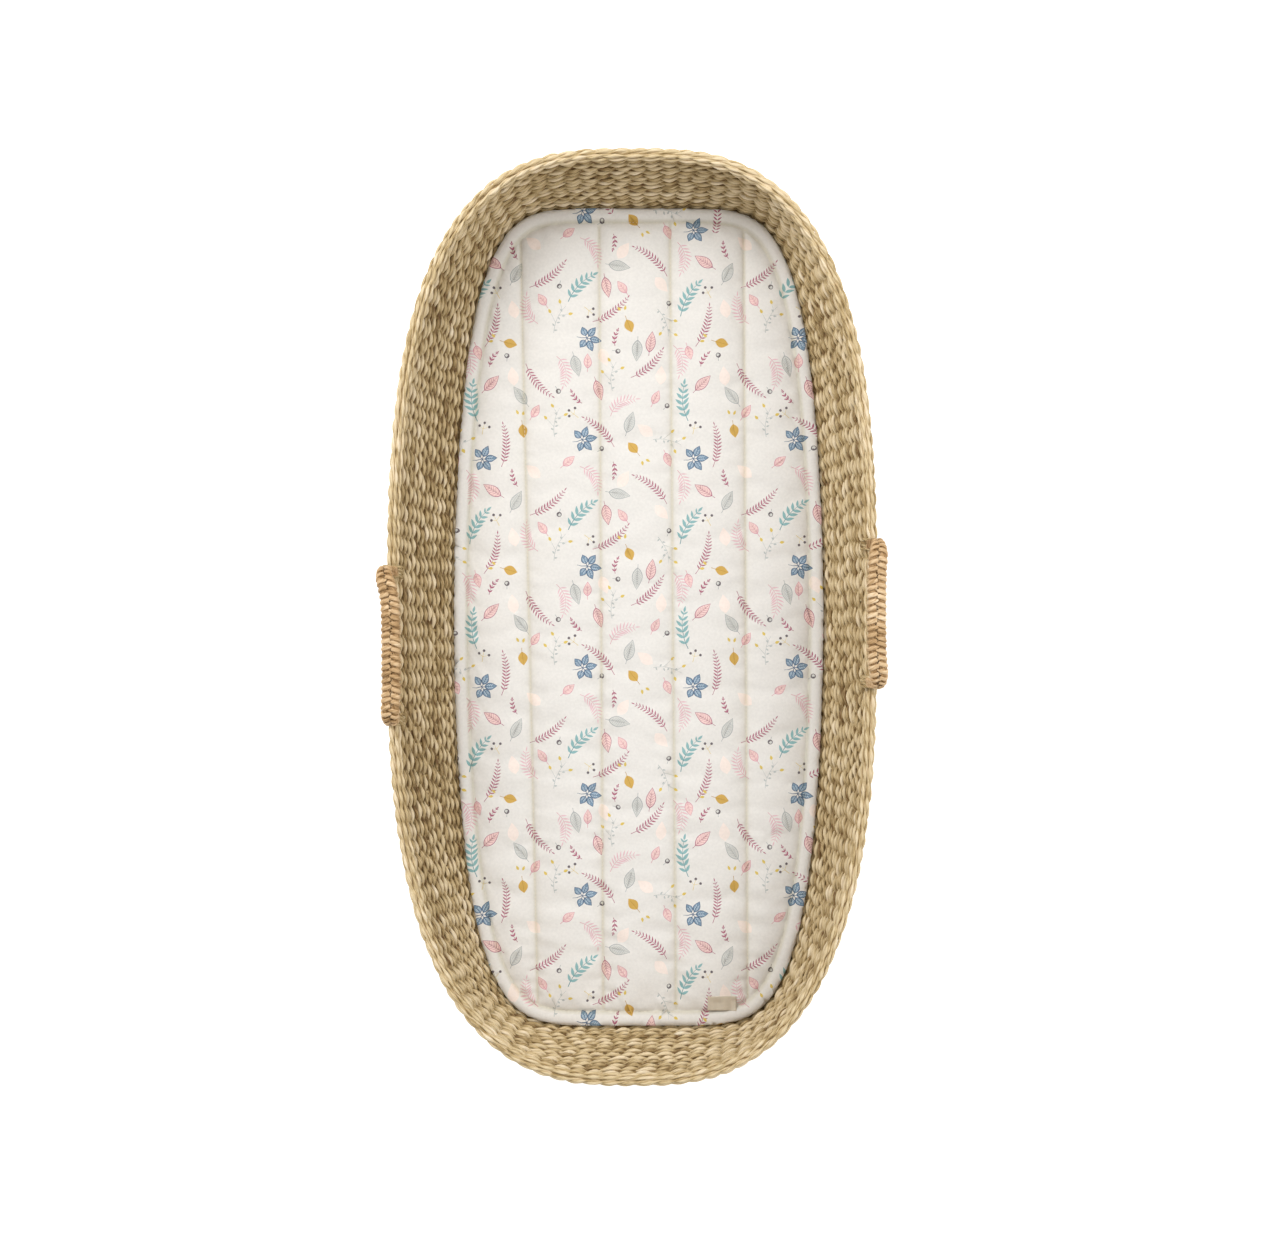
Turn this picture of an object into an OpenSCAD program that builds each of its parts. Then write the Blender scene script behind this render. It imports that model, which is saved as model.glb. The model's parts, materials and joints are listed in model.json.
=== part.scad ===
// Moses basket: a twined seagrass changing basket with two rope handles and a loose quilted mat.
// Millimetres, +Z up, +Y along the length. The origin is at the middle of the footprint, on the floor.

/* [Basket] */
// Overall length of the rim, head to foot
rim_length = 800; // [720:1:860]
// Overall width of the rim
rim_width = 418; // [390:1:450]
// Height of the rim above the floor
rim_height = 120; // [110:1:130]
// Thickness of the woven wall
wall_thickness = 8; // [6:0.5:9]
// Thickness of the woven base
base_thickness = 8; // [6:0.5:9]
// Lean of the long walls: sideways travel for each unit of height
side_flare = 0.402; // [0.40:0.002:0.48]
// Lean of the head and foot walls
end_flare = 0.274; // [0.27:0.002:0.32]
// How far the base stands off centre under the rim, as in a hand-woven body
base_offset = 8.5; // [0:0.5:10]

/* [Weave] */
// Rounds of twining between the base and the rim
wall_rows = 17; // [12:1:20]
// Upright stakes that the rounds are twined on
stake_count = 140; // [120:2:180]
// Diameter of a stake
stake_d = 2.6; // [2:0.1:3.2]
// Diameter of the plaited rim border
border_d = 10; // [9:0.5:11]
// Diameter of the bundled stalks inside the border
rim_core_d = 5; // [4:0.5:6]

/* [Handles] */
// Length over the ends of the left handle
left_span = 134; // [120:1:140]
// Length over the ends of the right handle
right_span = 126; // [120:1:140]
// Place of the left handle's middle along the basket
left_place = -24; // [-40:1:40]
// Place of the right handle's middle along the basket
right_place = 3; // [-40:1:40]
// Height of a handle above the rim
handle_rise = 52; // [45:1:60]
// Width of the wrapped grip, over both ropes
grip_width = 16.5; // [15:0.5:18]
// Thickness of the wrapped grip
grip_thickness = 8.4; // [8:0.1:9]
// Inward lean of the left handle at rest
left_lean = 5; // [0:0.5:8]
// Inward lean of the right handle at rest
right_lean = 2; // [0:0.5:8]

/* [Mat] */
// Thickness of the quilted mat
mat_thickness = 27.6; // [24:0.2:30]
// Number of sewn channels across the mat
mat_channels = 5; // [4:1:6]
// Distance of the stitched border from the mat's edge
seam_inset = 12; // [9:0.5:15]

/* [Hidden] */
ring_points = 96;         // straight sides of a woven round, seen from above
section_points = 8;       // sides of the rim border and of a rope
sample_step = 3;          // degrees between samples when an outline's length is measured
square_base = 12;         // superellipse exponent of the outline on the floor
taper = 0.25;             // share of its width that the outline on the floor loses by its ends
square_head = 2.95;       // the same at the rim, at the head end
square_foot = 2.75;       // and at the foot end, which is a little more pointed
gap = 0.4;                // play between pieces of different bodies
fit = 0.1;                // play between pieces of one body
spoke_spacing = 26;       // from one spoke of the base to the next
rim_axis_z = rim_height - border_d / 2;
row_height = (rim_height - border_d - base_thickness) / wall_rows;
cloth = 1;                // thickness of the cotton cover
tier_heights = [0, 2 * row_height, 4 * row_height];   // where the mat steps out to follow the wall
rope_d = 5.7;             // each of the two ropes inside a grip
wrap_skin = (grip_thickness - rope_d) / 2;
grip_bend = 17;           // radius of the grip's bends, on its middle line
lashing_cord = 3.4;
lashing_turns = 4;
lashing_pitch = lashing_cord + 0.05;
lashing_slack = 0.9;      // play between a lashing and the border that it turns on
lashing_radius = border_d / 2 + lashing_slack + lashing_cord / 2;
foot_height = lashing_radius + lashing_cord / 2 + fit;
stake_top = rim_axis_z - foot_height - gap;   // under the lashings, which turn

function two_digits(i) = i < 10 ? str("0", i) : str(i);
ROWS = [for (i = [1:wall_rows]) str("wall_row_", two_digits(i))];
WADDING = [for (i = [1:mat_channels]) str("mat_wadding_", i)];
HANDLE_PARTS = ["core_inner", "core_outer", "wrap", "lashing_front", "lashing_back"];

// ---- outlines -----------------------------------------------------------------------------

// Half width, half length and sideways place of the middle of the wall at height z
function half_width(z) = rim_width / 2 - border_d / 2 - side_flare * (rim_axis_z - z);
function half_length(z) = rim_length / 2 - border_d / 2 - end_flare * (rim_axis_z - z);
function place(z) = base_offset * (1 - z / rim_axis_z);
function squareness(z, angle) =
    let (share = z / rim_axis_z, top = sin(angle) >= 0 ? square_head : square_foot)
    1 / ((1 - share) / square_base + share / top);
function narrowing(z, y) = 1 - taper * (1 - z / rim_axis_z) * pow(y / half_length(z), 2);

// A point of the outline at height z, grown outwards by grow, in the direction angle
function outline_point(z, grow, angle) =
    let (
        n = squareness(z, angle),
        a = half_width(z) + grow,
        b = half_length(z) + grow,
        r = pow(pow(abs(cos(angle)) / a, n) + pow(abs(sin(angle)) / b, n), -1 / n),
        y = r * sin(angle)
    )
    [place(z) + r * cos(angle) * narrowing(z, y), y];

// Running length of the outline against angle, so that points can be spaced evenly along it
function length_table(z, grow) =
    let (
        last = 360 / sample_step,
        points = [for (i = [0:last]) outline_point(z, grow, i * sample_step)]
    )
    [for (i = 0, s = 0; i <= last;
          s = s + (i < last ? norm(points[i + 1] - points[i]) : 0), i = i + 1)
        [s, i * sample_step]];

function even_angles(z, grow, count) =
    let (table = length_table(z, grow), total = table[len(table) - 1][0])
    [for (k = [0:count - 1]) lookup(total * k / count, table)];

function even_outline(z, grow, count = ring_points) =
    [for (angle = even_angles(z, grow, count)) outline_point(z, grow, angle)];

// ---- general solids -------------------------------------------------------------------------

// A closed tube of round section laid along the outline at height z
module outline_tube(z, d, sides) {
    path = even_outline(z, 0);
    count = len(path);
    rings = [for (i = [0:count - 1])
        let (
            ahead = path[(i + 1) % count] - path[(i + count - 1) % count],
            out = [ahead.y, -ahead.x] / norm(ahead)
        )
        [for (j = [0:sides - 1])
            let (turn = 360 * j / sides)
            [path[i].x + out.x * cos(turn) * d / 2,
             path[i].y + out.y * cos(turn) * d / 2,
             z + sin(turn) * d / 2]]];
    polyhedron(
        points = [for (ring = rings) each ring],
        faces = [for (i = [0:count - 1], j = [0:sides - 1])
            let (n = (i + 1) % count, k = (j + 1) % sides)
            each [[i * sides + j, i * sides + k, n * sides + k],
                  [i * sides + j, n * sides + k, n * sides + j]]]
    );
}

// A round bar between two points, left six-sided
module bar(from, to, d) {
    run = to - from;
    flat = norm([run.x, run.y]);
    translate(from)
        rotate([0, atan2(flat, run.z), atan2(run.y, run.x)])
            cylinder(d = d, h = norm(run), $fn = 6);
}

// A solid skinned over rings that have as many points each
module skin(rings) {
    count = len(rings);
    sides = len(rings[0]);
    polyhedron(
        points = [for (ring = rings) each ring],
        faces = concat(
            [[for (j = [0:sides - 1]) sides - 1 - j]],
            [[for (j = [0:sides - 1]) (count - 1) * sides + j]],
            [for (i = [0:count - 2], j = [0:sides - 1])
                let (k = (j + 1) % sides)
                each [[i * sides + j, i * sides + k, (i + 1) * sides + k],
                      [i * sides + j, (i + 1) * sides + k, (i + 1) * sides + j]]]
        )
    );
}

// A section swept along a path that stays in the YZ plane; section points are [across, outwards]
module plane_sweep(path, section) {
    count = len(path);
    skin([for (i = [0:count - 1])
        let (
            before = path[max(i - 1, 0)],
            after = path[min(i + 1, count - 1)],
            along = (after - before) / norm(after - before),
            out = [-along.y, along.x]
        )
        [for (p = section) [p.x, path[i].x + out.x * p.y, path[i].y + out.y * p.y]]]);
}

// ---- basket ---------------------------------------------------------------------------------

module base_panel() {
    color("tan")
        linear_extrude(base_thickness)
            polygon(even_outline(base_thickness / 2, wall_thickness / 2));
}

// Spokes of the base, buried in its weave, on which its rounds are twined
module base_spokes() {
    reach = floor(half_length(0) / spoke_spacing) - 1;
    color("burlywood")
        for (k = [-reach:reach]) {
            y = k * spoke_spacing;
            n = squareness(0, y < 0 ? -90 : 90);
            x = half_width(0) * pow(1 - pow(abs(y) / half_length(0), n), 1 / n) * narrowing(0, y);
            bar([place(0) - x, y, base_thickness / 2], [place(0) + x, y, base_thickness / 2], stake_d);
        }
}

// One round of twining; the top one is notched where the handles' lashings go through the wall
module wall_row(index) {
    low = base_thickness + (index - 1) * row_height;
    middle = low + row_height / 2;
    depth = foot_height + gap;
    notch = [4 * wall_thickness, lashing_turns * lashing_pitch + 2, depth];
    color(index % 2 == 0 ? "tan" : "burlywood")
        difference() {
            translate([0, 0, low])
                linear_extrude(row_height)
                    difference() {
                        polygon(even_outline(middle, wall_thickness / 2));
                        polygon(even_outline(middle, -wall_thickness / 2));
                    }
            if (index == wall_rows)
                for (side = ["left", "right"])
                    at_handle(side)
                        for (end = [-1, 1])
                            translate([-notch.x / 2, end * foot_reach(side) - notch.y / 2, -depth])
                                cube(notch);
        }
}

// Upright stakes, each bent once at half height to stay in the middle of the wall
module stakes() {
    foot = base_thickness / 2;
    heights = [foot, (foot + stake_top) / 2, stake_top];
    outlines = [for (z = heights) even_outline(z, 0, stake_count)];
    color("peru")
        for (k = [0:stake_count - 1])
            skin([for (i = [0:2])
                let (at = outlines[i][k])
                [for (turn = [0:-60:-300])
                    [at.x + stake_d / 2 * cos(turn), at.y + stake_d / 2 * sin(turn), heights[i]]]]);
}

module rim_core() {
    color("khaki") outline_tube(rim_axis_z, rim_core_d, section_points);
}

module rim_border() {
    color("wheat")
        difference() {
            outline_tube(rim_axis_z, border_d, section_points);
            outline_tube(rim_axis_z, rim_core_d, section_points);
        }
}

// ---- handles --------------------------------------------------------------------------------

function span(side) = side == "left" ? left_span : right_span;
function middle(side) = side == "left" ? left_place : right_place;
function lean(side) = side == "left" ? left_lean : -right_lean;
function foot_reach(side) = span(side) / 2 - grip_thickness / 2;

// X of the rim's middle line at the place y along one long side
function rim_x(side, y) =
    let (
        n = y < 0 ? square_foot : square_head,
        x = half_width(rim_axis_z) * pow(1 - pow(abs(y) / half_length(rim_axis_z), n), 1 / n)
    )
    side == "left" ? -x : x;

// Puts a handle on the rim: its own Y axis runs through the border under both of its feet
module at_handle(side) {
    back = middle(side) + foot_reach(side);
    front = middle(side) - foot_reach(side);
    x_back = rim_x(side, back);
    x_front = rim_x(side, front);
    translate([(x_back + x_front) / 2, middle(side), rim_axis_z])
        rotate([0, 0, -atan2(x_back - x_front, back - front)])
            children();
}

// The middle line of a grip as [along, up]: a leg, a bend, the top, a bend and a leg
function grip_path(side) =
    let (
        reach = foot_reach(side),
        top = handle_rise + border_d / 2 - grip_thickness / 2,
        bend = [for (t = [0:15:90])
            [reach - grip_bend + grip_bend * cos(t), top - grip_bend + grip_bend * sin(t)]]
    )
    concat(
        [[reach, foot_height]],
        bend,
        [for (i = [len(bend) - 1:-1:0]) [-bend[i].x, bend[i].y]],
        [[-reach, foot_height]]
    );

function oval(width, thickness) =
    [for (side = [-1, 1], t = [-75:30:75])
        [side * ((width - thickness) / 2 + thickness / 2 * cos(t)), side * thickness / 2 * sin(t)]];

function round_section(across, d) =
    [for (j = [0:section_points - 1])
        let (t = 360 * (j + 0.5) / section_points)
        [across + d / 2 * cos(t), d / 2 * sin(t)]];

// inside is 1 for the rope nearer the mat, and -1 for the outer one
module handle_core(side, inside) {
    across = (grip_width / 2 - wrap_skin - rope_d / 2) * (side == "left" ? inside : -inside);
    color("wheat")
        at_handle(side)
            rotate([0, lean(side), 0])
                plane_sweep(grip_path(side), round_section(across, rope_d));
}

// The figure-of-eight wrapping, as the sleeve that it makes round both ropes
module handle_wrap(side) {
    path = grip_path(side);
    last = len(path) - 1;
    longer = concat([path[0] - [0, 1]], path, [path[last] - [0, 1]]);
    color("burlywood")
        at_handle(side)
            rotate([0, lean(side), 0])
                difference() {
                    plane_sweep(path, oval(grip_width, grip_thickness));
                    plane_sweep(longer, oval(grip_width - 2 * wrap_skin + fit, rope_d + fit));
                }
}

// Turns of cord round the rim border, through the wall under it; they turn on the border
module handle_lashing(side, end) {
    color("darkkhaki")
        at_handle(side)
            for (k = [0:lashing_turns - 1])
                translate([0, end * foot_reach(side) + (k - (lashing_turns - 1) / 2) * lashing_pitch, 0])
                    rotate([90, 0, 0])
                        rotate_extrude($fn = 48)
                            translate([lashing_radius, 0])
                                circle(d = lashing_cord, $fn = 24);
}

// ---- mat ------------------------------------------------------------------------------------

mat_bottom = base_thickness + gap;
mat_top = mat_bottom + mat_thickness;
thread_d = 1;
seam_z = base_thickness + tier_heights[2] + row_height / 2;
channel_pitch = 2 * half_width(seam_z) / mat_channels;
stitched_edge = -wall_thickness / 2 - 2 * gap - seam_inset;   // from the middle of the wall
label_size = [26, 13, 0.8];
label_corner = [68, 3];   // across from the middle, and along from the border's edge

// One step of the mat's body from z0 up to z1, shrunk by inset, clear of the round beside its foot
module mat_step(step, z0, z1, inset) {
    beside = base_thickness + tier_heights[step] + row_height / 2;
    translate([0, 0, z0])
        linear_extrude(z1 - z0)
            polygon(even_outline(beside, -wall_thickness / 2 - 2 * gap - inset));
}

// The space inside the cover
module mat_filling(inset) {
    mat_step(0, mat_bottom + inset, mat_top - inset, inset);
    for (step = [1:2])
        mat_step(step, base_thickness + tier_heights[step] + inset, mat_top - inset, inset);
}

// Lower sheet of the cover, turned up round the filling
module mat_cover_base() {
    color("linen")
        difference() {
            mat_step(0, mat_bottom, base_thickness + tier_heights[1], 0);
            mat_step(0, mat_bottom + cloth, rim_height, cloth);
        }
}

// Upper sheet of the cover, which hangs down over the steps
module mat_cover_top() {
    color("ivory")
        difference() {
            for (step = [1:2])
                mat_step(step, base_thickness + tier_heights[step], mat_top, 0);
            mat_step(0, 0, mat_top - cloth, cloth);
            for (step = [1:2])
                mat_step(step, base_thickness + tier_heights[step] + cloth, mat_top - cloth, cloth);
        }
}

// One channel of wadding, between two lines of quilting
module mat_wadding(index) {
    left = place(seam_z) - half_width(seam_z) + (index - 1) * channel_pitch;
    color("white")
        intersection() {
            mat_filling(cloth + fit);
            translate([left + fit, -rim_length / 2, 0])
                cube([channel_pitch - 2 * fit, rim_length, rim_height]);
        }
}

// Stitched border, and the lines of quilting, which stop short of it
module mat_edge_seam() {
    color("snow")
        translate([0, 0, mat_top])
            linear_extrude(thread_d / 2)
                difference() {
                    polygon(even_outline(seam_z, stitched_edge));
                    polygon(even_outline(seam_z, stitched_edge - thread_d));
                }
}

module mat_channel_seams() {
    inside = stitched_edge - 2 * thread_d;
    a = half_width(seam_z) + inside;
    b = half_length(seam_z) + inside;
    n = squareness(seam_z, -90);
    color("snow")
        for (k = [1:mat_channels - 1]) {
            x = -half_width(seam_z) + k * channel_pitch;
            wide = (abs(x) + thread_d / 2) / narrowing(seam_z, b);
            reach = b * pow(1 - pow(wide / a, n), 1 / n);
            translate([place(seam_z) + x - thread_d / 2, -reach, mat_top])
                cube([thread_d, 2 * reach, thread_d / 2]);
        }
}

// Blank woven label, sewn on the border stitching at the foot
module mat_label() {
    stitching = -half_length(seam_z) + wall_thickness / 2 + seam_inset;
    color("darkkhaki")
        translate([label_corner.x, stitching + label_corner.y, mat_top + thread_d / 2])
            cube(label_size);
}

// ---- assembly -------------------------------------------------------------------------------

base_panel();
base_spokes();
stakes();
rim_core();
rim_border();
for (i = [1:wall_rows])
    wall_row(i);
for (side = ["left", "right"]) {
    handle_core(side, 1);
    handle_core(side, -1);
    handle_wrap(side);
    handle_lashing(side, -1);
    handle_lashing(side, 1);
}
mat_cover_base();
mat_cover_top();
for (i = [1:mat_channels])
    mat_wadding(i);
mat_edge_seam();
mat_channel_seams();
mat_label();
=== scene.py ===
"""A twined seagrass moses basket with two wrapped rope handles and a quilted, printed mat.

Everything is in metres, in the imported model's own frame: X across the basket, Y along it towards
the head end, Z up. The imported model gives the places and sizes; the woven strands, the stitched
cloth and the finishes are made here.
"""

from __future__ import annotations

import json
import logging
import math
from dataclasses import dataclass, field
from enum import Enum, IntEnum
from typing import Callable

import bpy
import numpy as np
from mathutils.geometry import delaunay_2d_cdt
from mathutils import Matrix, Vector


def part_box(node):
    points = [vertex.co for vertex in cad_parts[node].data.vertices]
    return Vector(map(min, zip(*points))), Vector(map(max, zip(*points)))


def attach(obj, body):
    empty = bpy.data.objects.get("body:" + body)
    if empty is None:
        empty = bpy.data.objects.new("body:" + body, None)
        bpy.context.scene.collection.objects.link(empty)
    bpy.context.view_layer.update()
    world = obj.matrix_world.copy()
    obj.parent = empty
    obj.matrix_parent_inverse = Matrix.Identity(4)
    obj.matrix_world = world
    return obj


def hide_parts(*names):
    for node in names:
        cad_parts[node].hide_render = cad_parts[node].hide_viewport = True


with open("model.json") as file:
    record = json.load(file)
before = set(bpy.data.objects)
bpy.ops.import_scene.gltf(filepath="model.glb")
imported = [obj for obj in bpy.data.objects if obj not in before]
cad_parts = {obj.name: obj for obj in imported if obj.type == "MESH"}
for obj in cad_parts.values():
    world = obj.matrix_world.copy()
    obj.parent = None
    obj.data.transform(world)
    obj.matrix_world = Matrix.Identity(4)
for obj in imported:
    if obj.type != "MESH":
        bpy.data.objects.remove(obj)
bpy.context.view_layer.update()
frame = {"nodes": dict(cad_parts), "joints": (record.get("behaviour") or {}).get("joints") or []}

Array = np.ndarray
Colour = tuple[float, float, float]
MM = 0.001
UP = np.array([0, 0, 1.0])
LOG = logging.getLogger("moses_basket")


class Seed(IntEnum):
    """Where the random draws of each part start."""

    QUILT = 5
    STAKES = 7
    PRINT = 12
    LEFT_WRAP = 21
    RIGHT_WRAP = 22
    LASHING = 31
    WALL = 100
    RIM = 200
    BASE = 300


def linear(red: int, green: int, blue: int) -> Colour:
    """Turns a screen colour into the linear one that shaders take.

    Args:
        red, green, blue: The screen values, from 0 to 255.

    Returns:
        The linear red, green and blue.
    """
    return tuple(
        v / 12.92 if v <= 0.04045 else ((v + 0.055) / 1.055) ** 2.4
        for v in (red / 255, green / 255, blue / 255)
    )


def unit(vectors: Array) -> Array:
    """Returns the vectors at length one."""
    return vectors / np.maximum(np.linalg.norm(vectors, axis=-1, keepdims=True), 1e-12)


def wander(rng: np.random.Generator, count: int, waves: int, size: float) -> Array:
    """Makes a smooth random line that closes on itself, for hand-made unevenness.

    Args:
        rng: The seeded source.
        count: How many values.
        waves: The most waves over the whole line.
        size: The standard deviation.

    Returns:
        The values, with a mean of zero.
    """
    spectrum = np.fft.rfft(rng.standard_normal(count))
    spectrum[0] = 0
    spectrum[min(waves, len(spectrum) - 1) + 1 :] = 0
    line = np.fft.irfft(spectrum, count)
    return line * (size / max(line.std(), 1e-12))


def clear_selection() -> None:
    """Leaves nothing selected, so that an operator acts only on what comes next."""
    bpy.ops.object.select_all(action="DESELECT")


def apply_place(piece: bpy.types.Object) -> None:
    """Puts a piece's place, turn and scale into its mesh."""
    clear_selection()
    piece.select_set(True)
    bpy.context.view_layer.objects.active = piece
    bpy.ops.object.transform_apply(location=True, rotation=True, scale=True)


def new_piece(name: str, mesh: bpy.types.Mesh) -> bpy.types.Object:
    """Puts a mesh in the scene as an object of its own."""
    piece = bpy.data.objects.new(name, mesh)
    bpy.context.scene.collection.objects.link(piece)
    return piece


def dress(piece: bpy.types.Object, body: str, slot: str, *nodes: str) -> None:
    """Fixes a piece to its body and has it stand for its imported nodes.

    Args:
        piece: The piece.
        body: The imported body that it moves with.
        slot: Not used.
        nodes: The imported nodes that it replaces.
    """
    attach(piece, body)
    if nodes:
        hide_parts(*nodes)
    LOG.info("%s: %d faces", piece.name, len(piece.data.polygons))


def grid_quads(rows: int, columns: int) -> Array:
    """Returns the quads of a grid of points that is numbered row by row."""
    index = np.arange(rows * columns).reshape(rows, columns)
    quads = np.stack([index[:-1, :-1], index[:-1, 1:], index[1:, 1:], index[1:, :-1]], axis=-1)
    return quads.reshape(-1, 4)


def travelled(line: Array) -> Array:
    """Returns the length along a line up to each of its points."""
    return np.concatenate([[0], np.cumsum(np.linalg.norm(np.diff(line, axis=0), axis=1))])


# ---- plan of the basket ---------------------------------------------------------------------


@dataclass(frozen=True)
class Ring:
    """Evenly spaced stations round the basket at one height.

    Attributes:
        point: The stations.
        out: The wall's outward normal at each.
        up: The way up the wall's slope at each.
    """

    point: Array
    out: Array
    up: Array

    def at(self, outwards: Array, upwards: Array) -> Array:
        """Returns the stations moved along the wall's normal and up its slope."""
        return self.point + self.out * outwards[:, None] + self.up * upwards[:, None]


@dataclass(frozen=True)
class Outline:
    """The middle of the woven wall in plan, a superellipse that opens towards the rim.

    Attributes:
        rim_z: Height of the rim's middle line.
        rim_half: Half the width and half the length there.
        flare: How fast the sides and the ends open, for each unit of height.
        base_offset: How far the floor's middle lies to the right of the rim's.
        base_square: Exponent of the outline on the floor.
        head_square: The same at the rim, at the head end.
        foot_square: And at the foot end.
        taper: Share of its width that the outline on the floor loses by its ends.
    """

    rim_z: float
    rim_half: tuple[float, float]
    flare: tuple[float, float]
    base_offset: float
    base_square: float = 12.0
    head_square: float = 2.95
    foot_square: float = 2.75
    taper: float = 0.25

    @classmethod
    def from_frame(cls) -> Outline:
        """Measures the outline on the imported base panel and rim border."""
        low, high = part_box("base_panel")
        rim_low, rim_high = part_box("rim_border")
        thickness = high.z - low.z
        border = (rim_high.z - rim_low.z) / 2
        rim_z = (rim_low.z + rim_high.z) / 2
        rise = rim_z - thickness / 2
        rim_half = ((rim_high.x - rim_low.x) / 2 - border, (rim_high.y - rim_low.y) / 2 - border)
        base_half = ((high.x - low.x - thickness) / 2, (high.y - low.y - thickness) / 2)
        return cls(
            rim_z=rim_z,
            rim_half=rim_half,
            flare=tuple((rim_half[i] - base_half[i]) / rise for i in range(2)),
            base_offset=(low.x + high.x) / 2 * rim_z / rise,
        )

    def plan(self, z: Array | float, grow: float, angle: Array) -> Array:
        """Finds points of the outline by their angle.

        Args:
            z: The height, or one for each point.
            grow: How far outwards from the middle of the wall, in plan.
            angle: The angles, in radians.

        Returns:
            The points, as rows of x and y.
        """
        share = z / self.rim_z
        top = np.where(np.sin(angle) >= 0, self.head_square, self.foot_square)
        power = 1 / ((1 - share) / self.base_square + share / top)
        half = [self.rim_half[i] - self.flare[i] * (self.rim_z - z) for i in range(2)]
        across = np.abs(np.cos(angle) / (half[0] + grow)) ** power
        along = np.abs(np.sin(angle) / (half[1] + grow)) ** power
        reach = (across + along) ** (-1 / power)
        y = reach * np.sin(angle)
        narrowing = 1 - self.taper * (1 - share) * (y / half[1]) ** 2
        return np.stack([self.middle(z) + reach * np.cos(angle) * narrowing, y], axis=-1)

    def middle(self, z: Array | float) -> Array | float:
        """Returns the X of the outline's middle at a height."""
        return self.base_offset * (1 - z / self.rim_z)

    def towards(self, z: float, grow: float, points: Array) -> Array:
        """Finds the angles whose places on the outline lie in the direction of given points."""
        heading = np.arctan2(points[:, 1], points[:, 0] - self.middle(z))
        angle = heading
        for _ in range(5):
            there = self.plan(z, grow, angle)
            off = heading - np.arctan2(there[:, 1], there[:, 0] - self.middle(z))
            angle = angle + np.arctan2(np.sin(off), np.cos(off)) * 0.8
        return angle

    def angles(self, z: float, grow: float, count: int) -> Array:
        """Returns the directions of stations that are evenly spaced along the outline."""
        fine = np.linspace(0, 2 * math.pi, 1441)
        length = travelled(self.plan(z, grow, fine))
        return np.interp(np.arange(count) / count * length[-1], length, fine)

    def length(self, z: float, grow: float) -> float:
        """Returns the outline's length at a height."""
        points = self.plan(z, grow, np.linspace(0, 2 * math.pi, 721))
        return float(np.linalg.norm(np.diff(points, axis=0), axis=1).sum())

    def ring(self, z: float, count: int) -> Ring:
        """Makes the stations of a round of the wall.

        Args:
            z: The height of its middle.
            count: How many stations.

        Returns:
            The ring.
        """
        angle = self.angles(z, 0, count)
        flat = self.plan(z, 0, angle)
        along = unit(np.roll(flat, -1, axis=0) - np.roll(flat, 1, axis=0))
        side = np.stack([along[:, 1], -along[:, 0]], axis=1)
        step = 2 * MM
        rise = self.plan(z + step, 0, angle) - self.plan(z - step, 0, angle)
        slope = np.arctan((rise * side).sum(axis=1) / (2 * step))[:, None]
        return Ring(
            point=np.column_stack([flat, np.full(count, z)]),
            out=np.hstack([side * np.cos(slope), -np.sin(slope)]),
            up=np.hstack([side * np.sin(slope), np.cos(slope)]),
        )

    def floor_ring(self, z: float, inset: float, count: int) -> Ring:
        """Makes the stations of a round of the base, which faces down, inset from its edge."""
        flat = self.plan(z, -inset, self.angles(z, -inset, count))
        along = unit(np.roll(flat, -1, axis=0) - np.roll(flat, 1, axis=0))
        side = np.column_stack([along[:, 1], -along[:, 0], np.zeros(count)])
        down = np.tile([0.0, 0.0, -1.0], (count, 1))
        return Ring(point=np.column_stack([flat, np.full(count, z)]), out=down, up=side)


# ---- strands --------------------------------------------------------------------------------


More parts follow.
